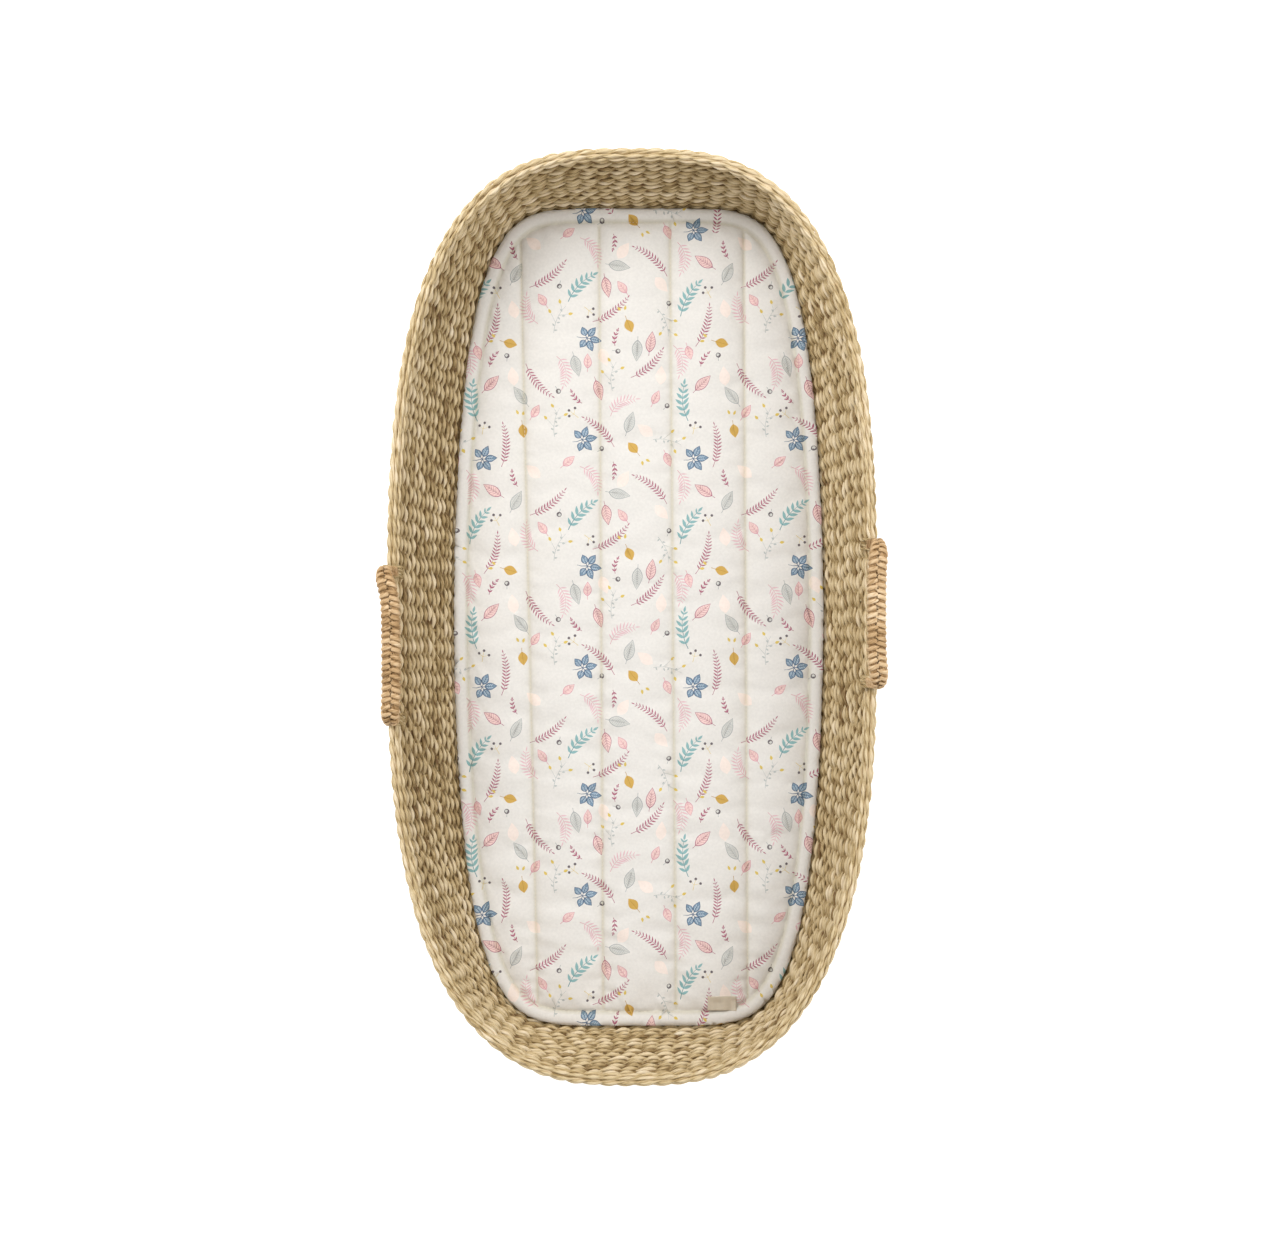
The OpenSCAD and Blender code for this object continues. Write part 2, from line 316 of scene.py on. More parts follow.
@dataclass
class Weaver:
    """Collects strands and makes them one mesh, with lengthwise UVs and a tone for each point.

    Attributes:
        points: The points of each strand.
        quads: The faces of each strand.
        uvs: The lengthwise coordinates of each strand's face corners.
        tones: The tone at each strand's points.
        total: How many points there are.
    """

    points: list[Array] = field(default_factory=list)
    quads: list[Array] = field(default_factory=list)
    uvs: list[Array] = field(default_factory=list)
    tones: list[Array] = field(default_factory=list)
    total: int = 0

    def strand(
        self,
        path: Array,
        facing: Array,
        thick: Array | float,
        wide: Array | float,
        tone: Array | float,
        sides: int = 8,
        closed: bool = False,
        start: float = 0.0,
    ) -> None:
        """Adds one strand of oval section.

        Args:
            path: Its middle line.
            facing: The way its flat side faces, at each point of the path.
            thick: Half its thickness, along facing.
            wide: Half its width.
            tone: Its tone, from 0, dark, to 1, pale, at each point.
            sides: How many sides its section has.
            closed: Whether it joins its own start.
            start: The length at which its lengthwise coordinate begins.
        """
        count = len(path)
        if closed:
            ahead = np.roll(path, -1, axis=0) - np.roll(path, 1, axis=0)
        else:
            ahead = np.gradient(path, axis=0)
        along = unit(ahead)
        outwards = unit(facing - along * (facing * along).sum(axis=1, keepdims=True))
        sideways = np.cross(along, outwards)
        turn = 2 * math.pi * np.arange(sides) / sides
        thick, wide, tone = (np.broadcast_to(v, count) for v in (thick, wide, tone))
        rings = (
            path[:, None, :]
            + outwards[:, None, :] * (np.cos(turn)[None, :] * thick[:, None])[..., None]
            + sideways[:, None, :] * (np.sin(turn)[None, :] * wide[:, None])[..., None]
        )
        last = count if closed else count - 1
        i, j = np.meshgrid(np.arange(last), np.arange(sides), indexing="ij")
        following, beside = (i + 1) % count, (j + 1) % sides
        corners = [(i, j), (i, beside), (following, beside), (following, j)]
        quads = np.stack([a * sides + b for a, b in corners], axis=-1).reshape(-1, 4)
        steps = np.linalg.norm(np.diff(path, axis=0, append=path[:1]), axis=1)
        run = start + np.concatenate([[0], np.cumsum(steps)])
        round_length = 2 * math.pi * float(np.mean(wide + thick)) / 2
        u = np.stack([run[i], run[i], run[i + 1], run[i + 1]], axis=-1)
        v = np.stack([j, j + 1, j + 1, j], axis=-1) / sides * round_length
        self.points.append(rings.reshape(-1, 3))
        self.quads.append(quads + self.total)
        self.uvs.append(np.stack([u, v], axis=-1).reshape(-1, 2))
        self.tones.append(np.repeat(tone, sides))
        self.total += count * sides
        if not closed:
            self._cap(count, sides, tone)

    def _cap(self, count: int, sides: int, tone: Array) -> None:
        """Closes both ends of the last strand with fans of quads about a middle point."""
        first = self.total - count * sides
        for ring, order in ((first, 1), (self.total - sides, -1)):
            middle = self.points[-1].reshape(-1, 3)
            centre = middle[ring - first : ring - first + sides].mean(axis=0, keepdims=True)
            hub = self.total
            self.points[-1] = np.vstack([self.points[-1], centre])
            self.tones[-1] = np.append(self.tones[-1], tone[0 if order == 1 else -1])
            self.total += 1
            for k in range(0, sides, 2):
                rim = [ring + k, ring + (k + 1) % sides, ring + (k + 2) % sides]
                quad = [hub, *rim[::-1]] if order == 1 else [hub, *rim]
                self.quads.append(np.array([quad]))
                self.uvs.append(np.zeros((4, 2)))

    def build(self, name: str, material: bpy.types.Material) -> bpy.types.Object:
        """Makes the mesh object.

        Args:
            name: The piece's name.
            material: Its finish.

        Returns:
            The object, with its place in its mesh.
        """
        mesh = bpy.data.meshes.new(name)
        points, quads = np.vstack(self.points), np.vstack(self.quads)
        mesh.from_pydata(points.tolist(), [], quads.tolist())
        layer = mesh.uv_layers.new(name="fibre")
        layer.data.foreach_set("uv", np.vstack(self.uvs).astype(np.float32).ravel())
        tone = mesh.attributes.new("tone", "FLOAT", "POINT")
        tone.data.foreach_set("value", np.concatenate(self.tones).astype(np.float32))
        mesh.shade_smooth()
        mesh.materials.append(material)
        return new_piece(name, mesh)


@dataclass(frozen=True)
class Twine:
    """Two strands that twist round each other and hold a stake in every half turn.

    Attributes:
        swing: How far a strand passes in front of or behind a stake.
        lift: How far it passes over the other strand between two stakes.
        thick: Half a strand's thickness.
        wide: Half a strand's width.
        waist: Share of its width that is left where the strands cross.
        filling: Half the width of the flat strand that fills the round behind the crossings, laid at a dark
            tone as painted shade in the gaps.
        steps: Stations from one stake to the next.
        stray: How far the crossings stray along the round, within it and as a whole, in stakes.
        sway: How far a strand strays up and down, over several stakes and from stake to stake.
        uneven: Spread of the swing, the width and the thickness.
        tones: Spread of the tone, along the round and from stroke to stroke.
        sunk: How much darker the crossings are painted, a painted shade where a strand dives in between the
            stakes.
    """

    swing: float = 2.3 * MM
    lift: float = 0.7 * MM
    thick: float = 1.7 * MM
    wide: float = 2.15 * MM
    waist: float = 0.45
    filling: float = 3.5 * MM
    steps: int = 6
    stray: tuple[float, float] = (0.15, 0.1)
    sway: tuple[float, float] = (0.22 * MM, 0.16 * MM)
    uneven: tuple[float, float, float] = (0.10, 0.10, 0.07)
    tones: tuple[float, float] = (0.12, 0.085)
    sunk: float = 0.24

    def lay(self, weaver: Weaver, ring: Ring, rng: np.random.Generator, sides: int = 8) -> None:
        """Lays one round.

        Args:
            weaver: Where the strands go.
            ring: The round's stations, self.steps for each stake.
            rng: The seeded source of its unevenness.
            sides: Sides of a strand's section.
        """
        count = len(ring.point)
        stakes = count // self.steps
        stake = np.arange(count) / self.steps + wander(rng, count, stakes // 7, self.stray[0])
        stake = stake + rng.normal(0, self.stray[1])
        slow, quick = self.sway
        sway = wander(rng, count, stakes // 8, slow) + wander(rng, count, stakes, quick)
        for phase in (0.0, 1.0):
            turn = math.pi * (stake + phase)
            loose = 1 + wander(rng, count, stakes, self.uneven[0])
            outwards = self.swing * loose * np.cos(turn)
            upwards = self.lift * np.sin(turn) + sway + wander(rng, count, stakes, quick)
            full = (1 + self.waist) / 2 + (1 - self.waist) / 2 * np.cos(2 * turn)
            wide = self.wide * full * (1 + wander(rng, count, stakes, self.uneven[1]))
            thick = self.thick * (1 + wander(rng, count, stakes, self.uneven[2]))
            blade = 0.5 + wander(rng, count, stakes // 9, self.tones[0])
            stroke = np.repeat(rng.normal(0, self.tones[1], stakes), self.steps)
            # painted shade: the tone drops where each strand dives in between the stakes at a crossing
            sunk = self.sunk * (1 - np.abs(np.cos(turn)))
            tone = np.clip(blade + np.roll(stroke, -self.steps // 2) - sunk, 0.04, 0.95)
            path = ring.at(outwards, upwards)
            weaver.strand(path, ring.out, thick, wide, tone, sides, closed=True, start=rng.random())
        # painted shade: a flat strand at dark tone 0.1 closes the round behind the crossings so the gaps read
        # as shaded; it also really stops light passing through
        if self.filling:
            weaver.strand(ring.point, ring.out, 0.6 * MM, self.filling, 0.1, sides=4, closed=True)


# ---- finishes -------------------------------------------------------------------------------


class Socket(Enum):
    """The kinds of socket that a shared effect has."""

    NUMBER = "NodeSocketFloat"
    COLOUR = "NodeSocketColor"
    VECTOR = "NodeSocketVector"


class Effect:
    """A shared shader effect, kept as a node group with named inputs and outputs."""

    def __init__(
        self, name: str, inputs: dict[str, tuple[Socket, object]], outputs: dict[str, Socket]
    ) -> None:
        """Starts the group.

        Args:
            name: The group's name.
            inputs: Each input's kind and default value.
            outputs: Each output's kind.
        """
        self.tree = bpy.data.node_groups.new(name, "ShaderNodeTree")
        for title, (kind, value) in inputs.items():
            socket = self.tree.interface.new_socket(title, in_out="INPUT", socket_type=kind.value)
            socket.default_value = value
        for title, kind in outputs.items():
            self.tree.interface.new_socket(title, in_out="OUTPUT", socket_type=kind.value)
        self.given = self.tree.nodes.new("NodeGroupInput").outputs
        self.result = self.tree.nodes.new("NodeGroupOutput").inputs

    def node(
        self, kind: str, links: dict[str | int, object], **settings: object
    ) -> bpy.types.Node:
        """Adds a node to the group; see add_node."""
        return add_node(self.tree, kind, links, **settings)

    def join(self, source: bpy.types.NodeSocket, output: str) -> None:
        """Leads a socket to one of the group's outputs."""
        self.tree.links.new(source, self.result[output])


def add_node(
    tree: bpy.types.NodeTree, kind: str, links: dict[str | int, object], **settings: object
) -> bpy.types.Node:
    """Adds a shader node.

    Args:
        tree: The tree that it goes in.
        kind: Its type.
        links: What each of its inputs gets, a value or the socket that feeds it.
        settings: Its own properties.

    Returns:
        The node.
    """
    node = tree.nodes.new(kind)
    for name, value in settings.items():
        setattr(node, name, value)
    for name, value in links.items():
        if isinstance(value, bpy.types.NodeSocket):
            tree.links.new(value, node.inputs[name])
        else:
            node.inputs[name].default_value = value
    return node


def spread(
    tree: bpy.types.NodeTree, noise: bpy.types.NodeSocket, low: float, high: float
) -> bpy.types.NodeSocket:
    """Stretches the middle of a noise over a range.

    Args:
        tree: The tree that it is in.
        noise: The noise's value.
        low: What its low values become.
        high: What its high values become.

    Returns:
        The stretched value.
    """
    limits = {"Value": noise, "From Min": 0.3, "From Max": 0.7, "To Min": low, "To Max": high}
    return add_node(tree, "ShaderNodeMapRange", limits).outputs[0]


def new_material(name: str, roughness: float) -> tuple[bpy.types.Material, bpy.types.Node]:
    """Makes a material round its own Principled shader.

    Args:
        name: The material's name.
        roughness: The shader's roughness.

    Returns:
        The material and the shader.
    """
    material = bpy.data.materials.new(name)
    material.use_nodes = True
    shader = material.node_tree.nodes["Principled BSDF"]
    shader.inputs["Roughness"].default_value = roughness
    return material, shader


def fibre_effect() -> Effect:
    """Makes the lengthwise fibre of a grass strand, from UVs that run along it in metres."""
    effect = Effect(
        "grass_fibre",
        {
            "UV": (Socket.VECTOR, (0, 0, 0)),
            "Fineness": (Socket.NUMBER, 900.0),
            "Length": (Socket.NUMBER, 60.0),
            "Twist": (Socket.NUMBER, 300.0),
        },
        {"Grain": Socket.NUMBER, "Blotch": Socket.NUMBER},
    )
    given = effect.given
    parts = effect.node("ShaderNodeSeparateXYZ", {"Vector": given["UV"]})
    along, across, twist = (
        effect.node("ShaderNodeMath", {0: parts.outputs[axis], 1: given[scale]}, operation="MULTIPLY")
        for axis, scale in (("X", "Length"), ("Y", "Fineness"), ("X", "Twist"))
    )
    slanted = effect.node("ShaderNodeMath", {0: across.outputs[0], 1: twist.outputs[0]})
    lengthwise = effect.node("ShaderNodeCombineXYZ", {"X": along.outputs[0], "Y": slanted.outputs[0]})
    grain = effect.node(
        "ShaderNodeTexNoise", {"Vector": lengthwise.outputs[0], "Scale": 1.0, "Detail": 4.0, "Roughness": 0.6}
    )
    blotch = effect.node("ShaderNodeTexNoise", {"Vector": given["UV"], "Scale": 120.0, "Detail": 2.0})
    effect.join(grain.outputs["Fac"], "Grain")
    effect.join(blotch.outputs["Fac"], "Blotch")
    return effect


def weave_effect() -> Effect:
    """Makes a plain weave of crossing threads, from coordinates in metres."""
    effect = Effect(
        "plain_weave",
        {"Vector": (Socket.VECTOR, (0, 0, 0)), "Threads per metre": (Socket.NUMBER, 2600.0)},
        {"Height": Socket.NUMBER, "Slub": Socket.NUMBER},
    )
    given = effect.given
    scaled = effect.node(
        "ShaderNodeVectorMath",
        {0: given["Vector"], "Scale": given["Threads per metre"]},
        operation="SCALE",
    )
    parts = effect.node("ShaderNodeSeparateXYZ", {"Vector": scaled.outputs[0]})
    waves = [
        effect.node("ShaderNodeMath", {0: parts.outputs[axis]}, operation="SINE") for axis in ("X", "Y")
    ]
    crossed = {index: wave.outputs[0] for index, wave in enumerate(waves)}
    both = effect.node("ShaderNodeMath", crossed, operation="MULTIPLY")
    slub = effect.node("ShaderNodeTexNoise", {"Vector": given["Vector"], "Scale": 420.0, "Detail": 3.0})
    effect.join(both.outputs[0], "Height")
    effect.join(slub.outputs["Fac"], "Slub")
    return effect


@dataclass(frozen=True)
class GrassFinish:
    """Dried grass strand: a ramp of tones, lengthwise fibre and a dull sheen.

    Attributes:
        name: The material's name.
        stops: The colours from the darkest tone to the palest.
        roughness: The strand's roughness.
        depth: The height of its fibre.
        fineness: Fibres across a metre.
        shine: The strand's specular level.
        grain: How far the fibre takes the tone either way.
        blotch: How far the blotches take it.
    """

    name: str
    stops: tuple[Colour, ...]
    roughness: float = 0.55
    depth: float = 0.0004
    fineness: float = 1500.0
    shine: float = 0.35
    grain: float = 0.30
    blotch: float = 0.10

    def material(self, fibre: Effect) -> bpy.types.Material:
        """Makes the material.

        Args:
            fibre: The shared fibre effect.

        Returns:
            The material.
        """
        material, shader = new_material(self.name, self.roughness)
        tree = material.node_tree
        shader.inputs["Specular IOR Level"].default_value = self.shine
        uv = add_node(tree, "ShaderNodeUVMap", {}, uv_map="fibre")
        group = add_node(tree, "ShaderNodeGroup", {}, node_tree=fibre.tree)
        tree.links.new(uv.outputs["UV"], group.inputs["UV"])
        group.inputs["Fineness"].default_value = self.fineness
        tone = add_node(tree, "ShaderNodeAttribute", {}, attribute_name="tone")
        grain = spread(tree, group.outputs["Grain"], -self.grain, self.grain)
        blotch = spread(tree, group.outputs["Blotch"], -self.blotch, self.blotch)
        first = add_node(tree, "ShaderNodeMath", {0: tone.outputs["Fac"], 1: grain})
        total = add_node(tree, "ShaderNodeMath", {0: first.outputs[0], 1: blotch})
        ramp = add_node(tree, "ShaderNodeValToRGB", {"Fac": total.outputs[0]})
        elements = ramp.color_ramp.elements
        while len(elements) < len(self.stops):
            elements.new(0.5)
        for index, colour in enumerate(self.stops):
            elements[index].position = index / (len(self.stops) - 1)
            elements[index].color = (*colour, 1)
        tree.links.new(ramp.outputs["Color"], shader.inputs["Base Color"])
        relief = {"Height": group.outputs["Grain"], "Distance": self.depth, "Strength": 1.0}
        bump = add_node(tree, "ShaderNodeBump", relief)
        tree.links.new(bump.outputs["Normal"], shader.inputs["Normal"])
        return material


@dataclass(frozen=True)
class InnerFinish:
    """Plain dried stalk for the solids that stay buried in the weave.

    Attributes:
        name: The material's name.
        dark: The colour between its fibres.
        pale: The colour of its fibres.
        roughness: The stalk's roughness.
    """

    name: str
    dark: Colour
    pale: Colour
    roughness: float = 0.7

    def material(self) -> bpy.types.Material:
        """Makes the material, on object coordinates."""
        material, shader = new_material(self.name, self.roughness)
        tree = material.node_tree
        place = add_node(tree, "ShaderNodeTexCoord", {})
        noise = add_node(
            tree, "ShaderNodeTexNoise", {"Vector": place.outputs["Object"], "Scale": 700.0, "Detail": 3.0}
        )
        ramp = add_node(tree, "ShaderNodeValToRGB", {"Fac": noise.outputs["Fac"]})
        ramp.color_ramp.elements[0].color = (*self.dark, 1)
        ramp.color_ramp.elements[1].color = (*self.pale, 1)
        tree.links.new(ramp.outputs["Color"], shader.inputs["Base Color"])
        return material


@dataclass(frozen=True)
class ClothFinish:
    """Woven cotton or tape: a colour, or the piece's own print, and a fine weave.

    Attributes:
        name: The material's name.
        colour: The cloth's colour where it has no print.
        printed: Whether the colour comes from the piece's print attribute.
        threads: Threads per metre, times two pi.
        depth: The height of the weave.
        roughness: The cloth's roughness.
    """

    name: str
    colour: Colour
    printed: bool = False
    threads: float = 9000.0
    depth: float = 0.00008
    roughness: float = 0.85

    def material(self, weave: Effect) -> bpy.types.Material:
        """Makes the material.

        Args:
            weave: The shared weave effect.

        Returns:
            The material.
        """
        material, shader = new_material(self.name, self.roughness)
        tree = material.node_tree
        shader.inputs["Sheen Weight"].default_value = 0.15
        shader.inputs["Sheen Roughness"].default_value = 0.5
        place = add_node(tree, "ShaderNodeTexCoord", {})
        group = add_node(tree, "ShaderNodeGroup", {}, node_tree=weave.tree)
        tree.links.new(place.outputs["Object"], group.inputs["Vector"])
        group.inputs["Threads per metre"].default_value = self.threads
        if self.printed:
            # the print attribute also carries painted shade along the seams' creases
            base = add_node(tree, "ShaderNodeAttribute", {}, attribute_name="print").outputs["Color"]
        else:
            base = add_node(tree, "ShaderNodeRGB", {}).outputs[0]
            base.default_value = (*self.colour, 1)
        shade = spread(tree, group.outputs["Slub"], 0.95, 1.02)
        toned = add_node(tree, "ShaderNodeVectorMath", {0: base, "Scale": shade}, operation="SCALE")
        tree.links.new(toned.outputs[0], shader.inputs["Base Color"])
        relief = {"Height": group.outputs["Height"], "Distance": self.depth, "Strength": 0.6}
        bump = add_node(tree, "ShaderNodeBump", relief)
        tree.links.new(bump.outputs["Normal"], shader.inputs["Normal"])
        return material


class Finishes:
    """Every finish of the basket, made once."""

    def __init__(self) -> None:
        """Makes the shared effects and the materials."""
        fibre, weave = fibre_effect(), weave_effect()
        grass = (
            linear(112, 82, 46),
            linear(164, 138, 92),
            linear(202, 178, 132),
            linear(222, 202, 162),
            linear(236, 216, 182),
            linear(246, 233, 206),
        )
        rope = (
            linear(134, 100, 60),
            linear(182, 147, 102),
            linear(208, 175, 132),
            linear(228, 200, 160),
            linear(242, 222, 190),
        )
        self.grass = GrassFinish("seagrass_strand", grass).material(fibre)
        self.rim = GrassFinish("rim_strand", grass[1:]).material(fibre)
        self.stalk = GrassFinish("stake_stalk", grass[:4], fineness=500.0).material(fibre)
        self.inner = InnerFinish("inner_stalk", grass[0], grass[2]).material()
        self.rope = GrassFinish("handle_strand", rope, fineness=700.0).material(fibre)
        self.lashing = GrassFinish("lashing_cord", grass[:5], fineness=1400.0).material(fibre)
        self.cream = linear(231, 228, 223)
        self.print = ClothFinish("printed_cotton", self.cream, printed=True).material(weave)
        self.plain = ClothFinish("plain_cotton", self.cream).material(weave)
        self.thread = ClothFinish("sewing_thread", linear(222, 213, 194), threads=20000.0).material(weave)
        self.tape = ClothFinish("label_tape", linear(206, 194, 174), threads=6000.0).material(weave)


# ---- basket ---------------------------------------------------------------------------------


@dataclass
class WovenBody:
    """The twined wall and base, with their stakes.

    Attributes:
        outline: The basket's plan.
        finishes: The finishes.
        stake_count: Stakes round the wall.
        twine: How a round is twisted.
        stalk: Half the thickness and half the width of a stake.
        base_twine: How a round of the base is twisted.
        base_pitch: Distance between rounds of the base.
        spoke_pitch: Distance between spokes along a round of the base.
    """

    outline: Outline
    finishes: Finishes
    stake_count: int = 140
    twine: Twine = Twine()
    stalk: tuple[float, float] = (1.15 * MM, 1.5 * MM)
    base_twine: Twine = Twine(swing=2.1 * MM, wide=2.3 * MM, steps=5)
    base_pitch: float = 6.1 * MM
    spoke_pitch: float = 13.2 * MM

    def rows(self) -> list[str]:
        """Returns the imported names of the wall's rounds, from the base up."""
        return sorted(name for name in frame["nodes"] if name.startswith("wall_row_"))

    def build_wall(self) -> None:
        """Twines every round of the wall."""
        for index, node in enumerate(self.rows()):
            low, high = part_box(node)
            ring = self.outline.ring((low.z + high.z) / 2, self.stake_count * self.twine.steps)
            weaver = Weaver()
            self.twine.lay(weaver, ring, np.random.default_rng(Seed.WALL + index))
            piece = weaver.build(f"twined_{node}", self.finishes.grass)
            dress(piece, "basket", "seagrass_wall", node)

    def build_stakes(self) -> None:
        """Stands the stakes in the rounds, from the base to the rim."""
        low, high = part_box("stakes")
        heights = np.linspace(low.z + 1 * MM, high.z, 14)
        rings = [self.outline.ring(float(z), self.stake_count) for z in heights]
        weaver, rng = Weaver(), np.random.default_rng(Seed.STAKES)
        for k in range(self.stake_count):
            path = np.array([ring.point[k] for ring in rings])
            facing = np.array([ring.out[k] for ring in rings])
            weaver.strand(path, facing, *self.stalk, rng.uniform(0.2, 0.8), sides=6)
        dress(weaver.build("wall_stakes", self.finishes.stalk), "basket", "stalk", "stakes")

    def build_base(self) -> None:
        """Twines the base in rounds from its edge to the long middle line, in three pieces."""
        low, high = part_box("base_panel")
        middle = (low.z + high.z) / 2
        rounds = int(((high.x - low.x) / 2 - 6 * MM) / self.base_pitch)
        thirds = (0, rounds // 4, rounds // 2 + 1, rounds)
        for third in range(3):
            weaver = Weaver()
            for k in range(thirds[third], thirds[third + 1]):
                inset = 0.5 * MM + k * self.base_pitch
                stakes = 2 * round(self.outline.length(middle, -inset) / self.spoke_pitch / 2)
                ring = self.outline.floor_ring(middle, inset, stakes * self.base_twine.steps)
                self.base_twine.lay(weaver, ring, np.random.default_rng(Seed.BASE + k), sides=6)
            piece = weaver.build(f"base_rounds_{third + 1}", self.finishes.grass)
            dress(piece, "basket", "seagrass_wall", *(["base_panel"] if third == 0 else []))

    def build(self) -> None:
        """Builds the wall, its stakes and the base."""
        self.build_wall()
        self.build_stakes()
        self.build_base()
        for node in ("base_spokes", "rim_core"):
            self.finish_node(node)

    def finish_node(self, node: str) -> None:
        """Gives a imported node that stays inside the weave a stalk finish."""
        kept = frame["nodes"][node]
        kept.data.materials.clear()
        kept.data.materials.append(self.finishes.inner)


@dataclass
class RimBorder:
    """The border: small rounds of twining that go on over the rim, round its core.

    Attributes:
        outline: The basket's plan.
        finishes: The finishes.
        stake_count: Stakes round the wall.
        turns: Where each round lies on the rim, in degrees from the outside to the inside.
        twine: How a round of the border is twisted.
        fullness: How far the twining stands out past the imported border.
    """

    outline: Outline
    finishes: Finishes
    stake_count: int = 140
    turns: tuple[float, ...] = (-45, 15, 75, 135, 195, 255)
    twine: Twine = Twine(swing=1.3 * MM, lift=0.6 * MM, thick=1.3 * MM, wide=1.55 * MM, filling=0)
    fullness: float = 0.9 * MM

    def build(self) -> None:
        """Twines the border's rounds."""
        low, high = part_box("rim_border")
        reach = (high.z - low.z) / 2 - self.twine.swing - self.twine.thick + self.fullness
        ring = self.outline.ring(self.outline.rim_z, self.stake_count * self.twine.steps)
        weaver = Weaver()
        for index, turn in enumerate(self.turns):
            c, s = math.cos(math.radians(turn)), math.sin(math.radians(turn))
            out, up = ring.out * c + ring.up * s, ring.up * c - ring.out * s
            round_about = Ring(point=ring.point + out * reach, out=out, up=up)
            self.twine.lay(weaver, round_about, np.random.default_rng(Seed.RIM + index), sides=6)
        dress(weaver.build("twined_border", self.finishes.rim), "basket", "seagrass_rim", "rim_border")


# ---- handles --------------------------------------------------------------------------------


class Side(Enum):
    """The basket's two long sides."""

    LEFT = "left"
    RIGHT = "right"


@dataclass
class RopeHandle:
    """One handle: two ropes bound in a figure of eight, lashed round the rim border.

    Attributes:
        side: Which long side it stands on.
        finishes: The finishes.
        width: Width of the grip, across both ropes.
        thickness: Thickness of the grip.
        pitch: Travel of the wrapping for each turn.
        steps: Points of the wrapping strand in each turn.
        rope: A rope's distance from the middle and half its width, as shares of the grip's width.
        strand: Half the thickness and half the width of the wrapping strand.
        lap: How far each turn runs on past the middle before it dives, in radians of its turn.
        slant: How far a turn leans along the grip between its middle and its edge.
        bend: Radius of the grip's bends.
        narrow: Share of the width that is lost where the ropes close up at a foot.
        splay: How far the front and the back bend stand out from the basket.
        tone: The tone of the wrapping strand, from 0, dark, to 1, pale.
    """

    side: Side
    finishes: Finishes
    width: float = 16.5 * MM
    thickness: float = 8.4 * MM
    pitch: float = 5.4 * MM
    steps: int = 28
    rope: tuple[float, float] = (0.218, 0.224)
    strand: tuple[float, float] = (0.95 * MM, 1.9 * MM)
    lap: float = 0.6
    slant: float = 1.2 * MM
    bend: float = 17 * MM
    narrow: float = 0.42
    splay: tuple[float, float] = (0.0, 0.0)
    tone: float = 0.4

    def __post_init__(self) -> None:
        """Works out the handle's own axes from its packed joint and its packed grip."""
        joint = next(j for j in frame["joints"] if j["name"] == self.node("tilt"))
        self.pivot = np.array(joint["pos_m"])
        along = np.array(joint["axis"])
        self.along = along * np.sign(along[1])
        low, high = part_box(self.node("wrap"))
        top = np.array([(low.x + high.x) / 2, (low.y + high.y) / 2, high.z])
        self.reach = (high.y - low.y) / 2
        lean = math.radians(5 if self.side is Side.LEFT else -2)
        self.up = unit(UP * math.cos(lean) + self.outward_level() * math.sin(lean))
        self.across = np.cross(self.along, self.up)
        self.top = (top[2] - self.pivot[2]) / self.up[2] - self.thickness / 2
        self.foot = low.z - self.pivot[2]

    def node(self, part: str) -> str:
        """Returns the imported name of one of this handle's parts, or of its joint."""
        return f"handle_{self.side.value}_{part}"

    def grip(self, count: int) -> tuple[Array, Array]:
        """Follows the grip's middle line at even steps.

        Args:
            count: How many points.

        Returns:
            The points, and the way out of the arch at each.
        """
        reach = self.reach - self.thickness / 2
        turn = np.radians(np.linspace(0, 90, 24))
        arc = np.column_stack(
            [reach - self.bend + self.bend * np.cos(turn), self.top - self.bend + self.bend * np.sin(turn)]
        )
        mirrored = arc[::-1] * [-1, 1]
        flat = np.vstack([[[reach, self.foot]], arc, mirrored, [[-reach, self.foot]]])
        run = travelled(flat)
        even = np.linspace(0, run[-1], count)
        line = np.column_stack([np.interp(even, run, flat[:, i]) for i in range(2)])
        ahead = unit(np.gradient(line, axis=0))
        outwards = np.column_stack([ahead[:, 1], -ahead[:, 0]])
        to_row = np.array([self.along, self.up])
        return self.pivot + line @ to_row, outwards @ to_row

    def outward_level(self) -> Array:
        """Returns the level direction across the rim, towards +X."""
        return np.cross(self.along, UP)

    def course(self, count: int) -> tuple[Array, Array, Array]:
        """Follows the line midway between the two ropes, which stand out a little at the bends.

        Args:
            count: How many points.

        Returns:
            The points, the way out of the arch, and the share of their full width that the ropes
            keep, at each.
        """
        middle, outwards = self.grip(count)
        run = travelled(middle)
        ends = np.stack([run, run[-1] - run])
        leg, opening, bend_at, bend_reach = 29 * MM, 1.3 * self.bend, 34 * MM, 20 * MM
        closed = np.clip(1 - (ends.min(axis=0) - leg) / opening, 0, 1)
        bends = np.exp(-(((ends - bend_at) / bend_reach) ** 2))
        side = 1 if self.side is Side.RIGHT else -1
        splay = side * (self.splay[1] * bends[0] + self.splay[0] * bends[1])
        path = middle + self.outward_level() * splay[:, None]
        return path, outwards, 1 - self.narrow * closed**2

    def build_ropes(self) -> None:
        """Runs the two ropes side by side through the wrapping, one of them towards +X."""
        path, outwards, kept = self.course(160)
        thick = self.thickness / 2 - 2 * self.strand[0]
        for part, way in (("core_inner", -1), ("core_outer", 1)):
            way = way if self.side is Side.RIGHT else -way
            beside = way * self.rope[0] * self.width * kept
            weaver = Weaver()
            line = path + self.across * beside[:, None]
            weaver.strand(line, outwards, thick, self.rope[1] * self.width * kept, 0.15, sides=10)
            self.dress(weaver.build(f"{self.side.value}_{part}_rope", self.finishes.rope), "rope_core", part)

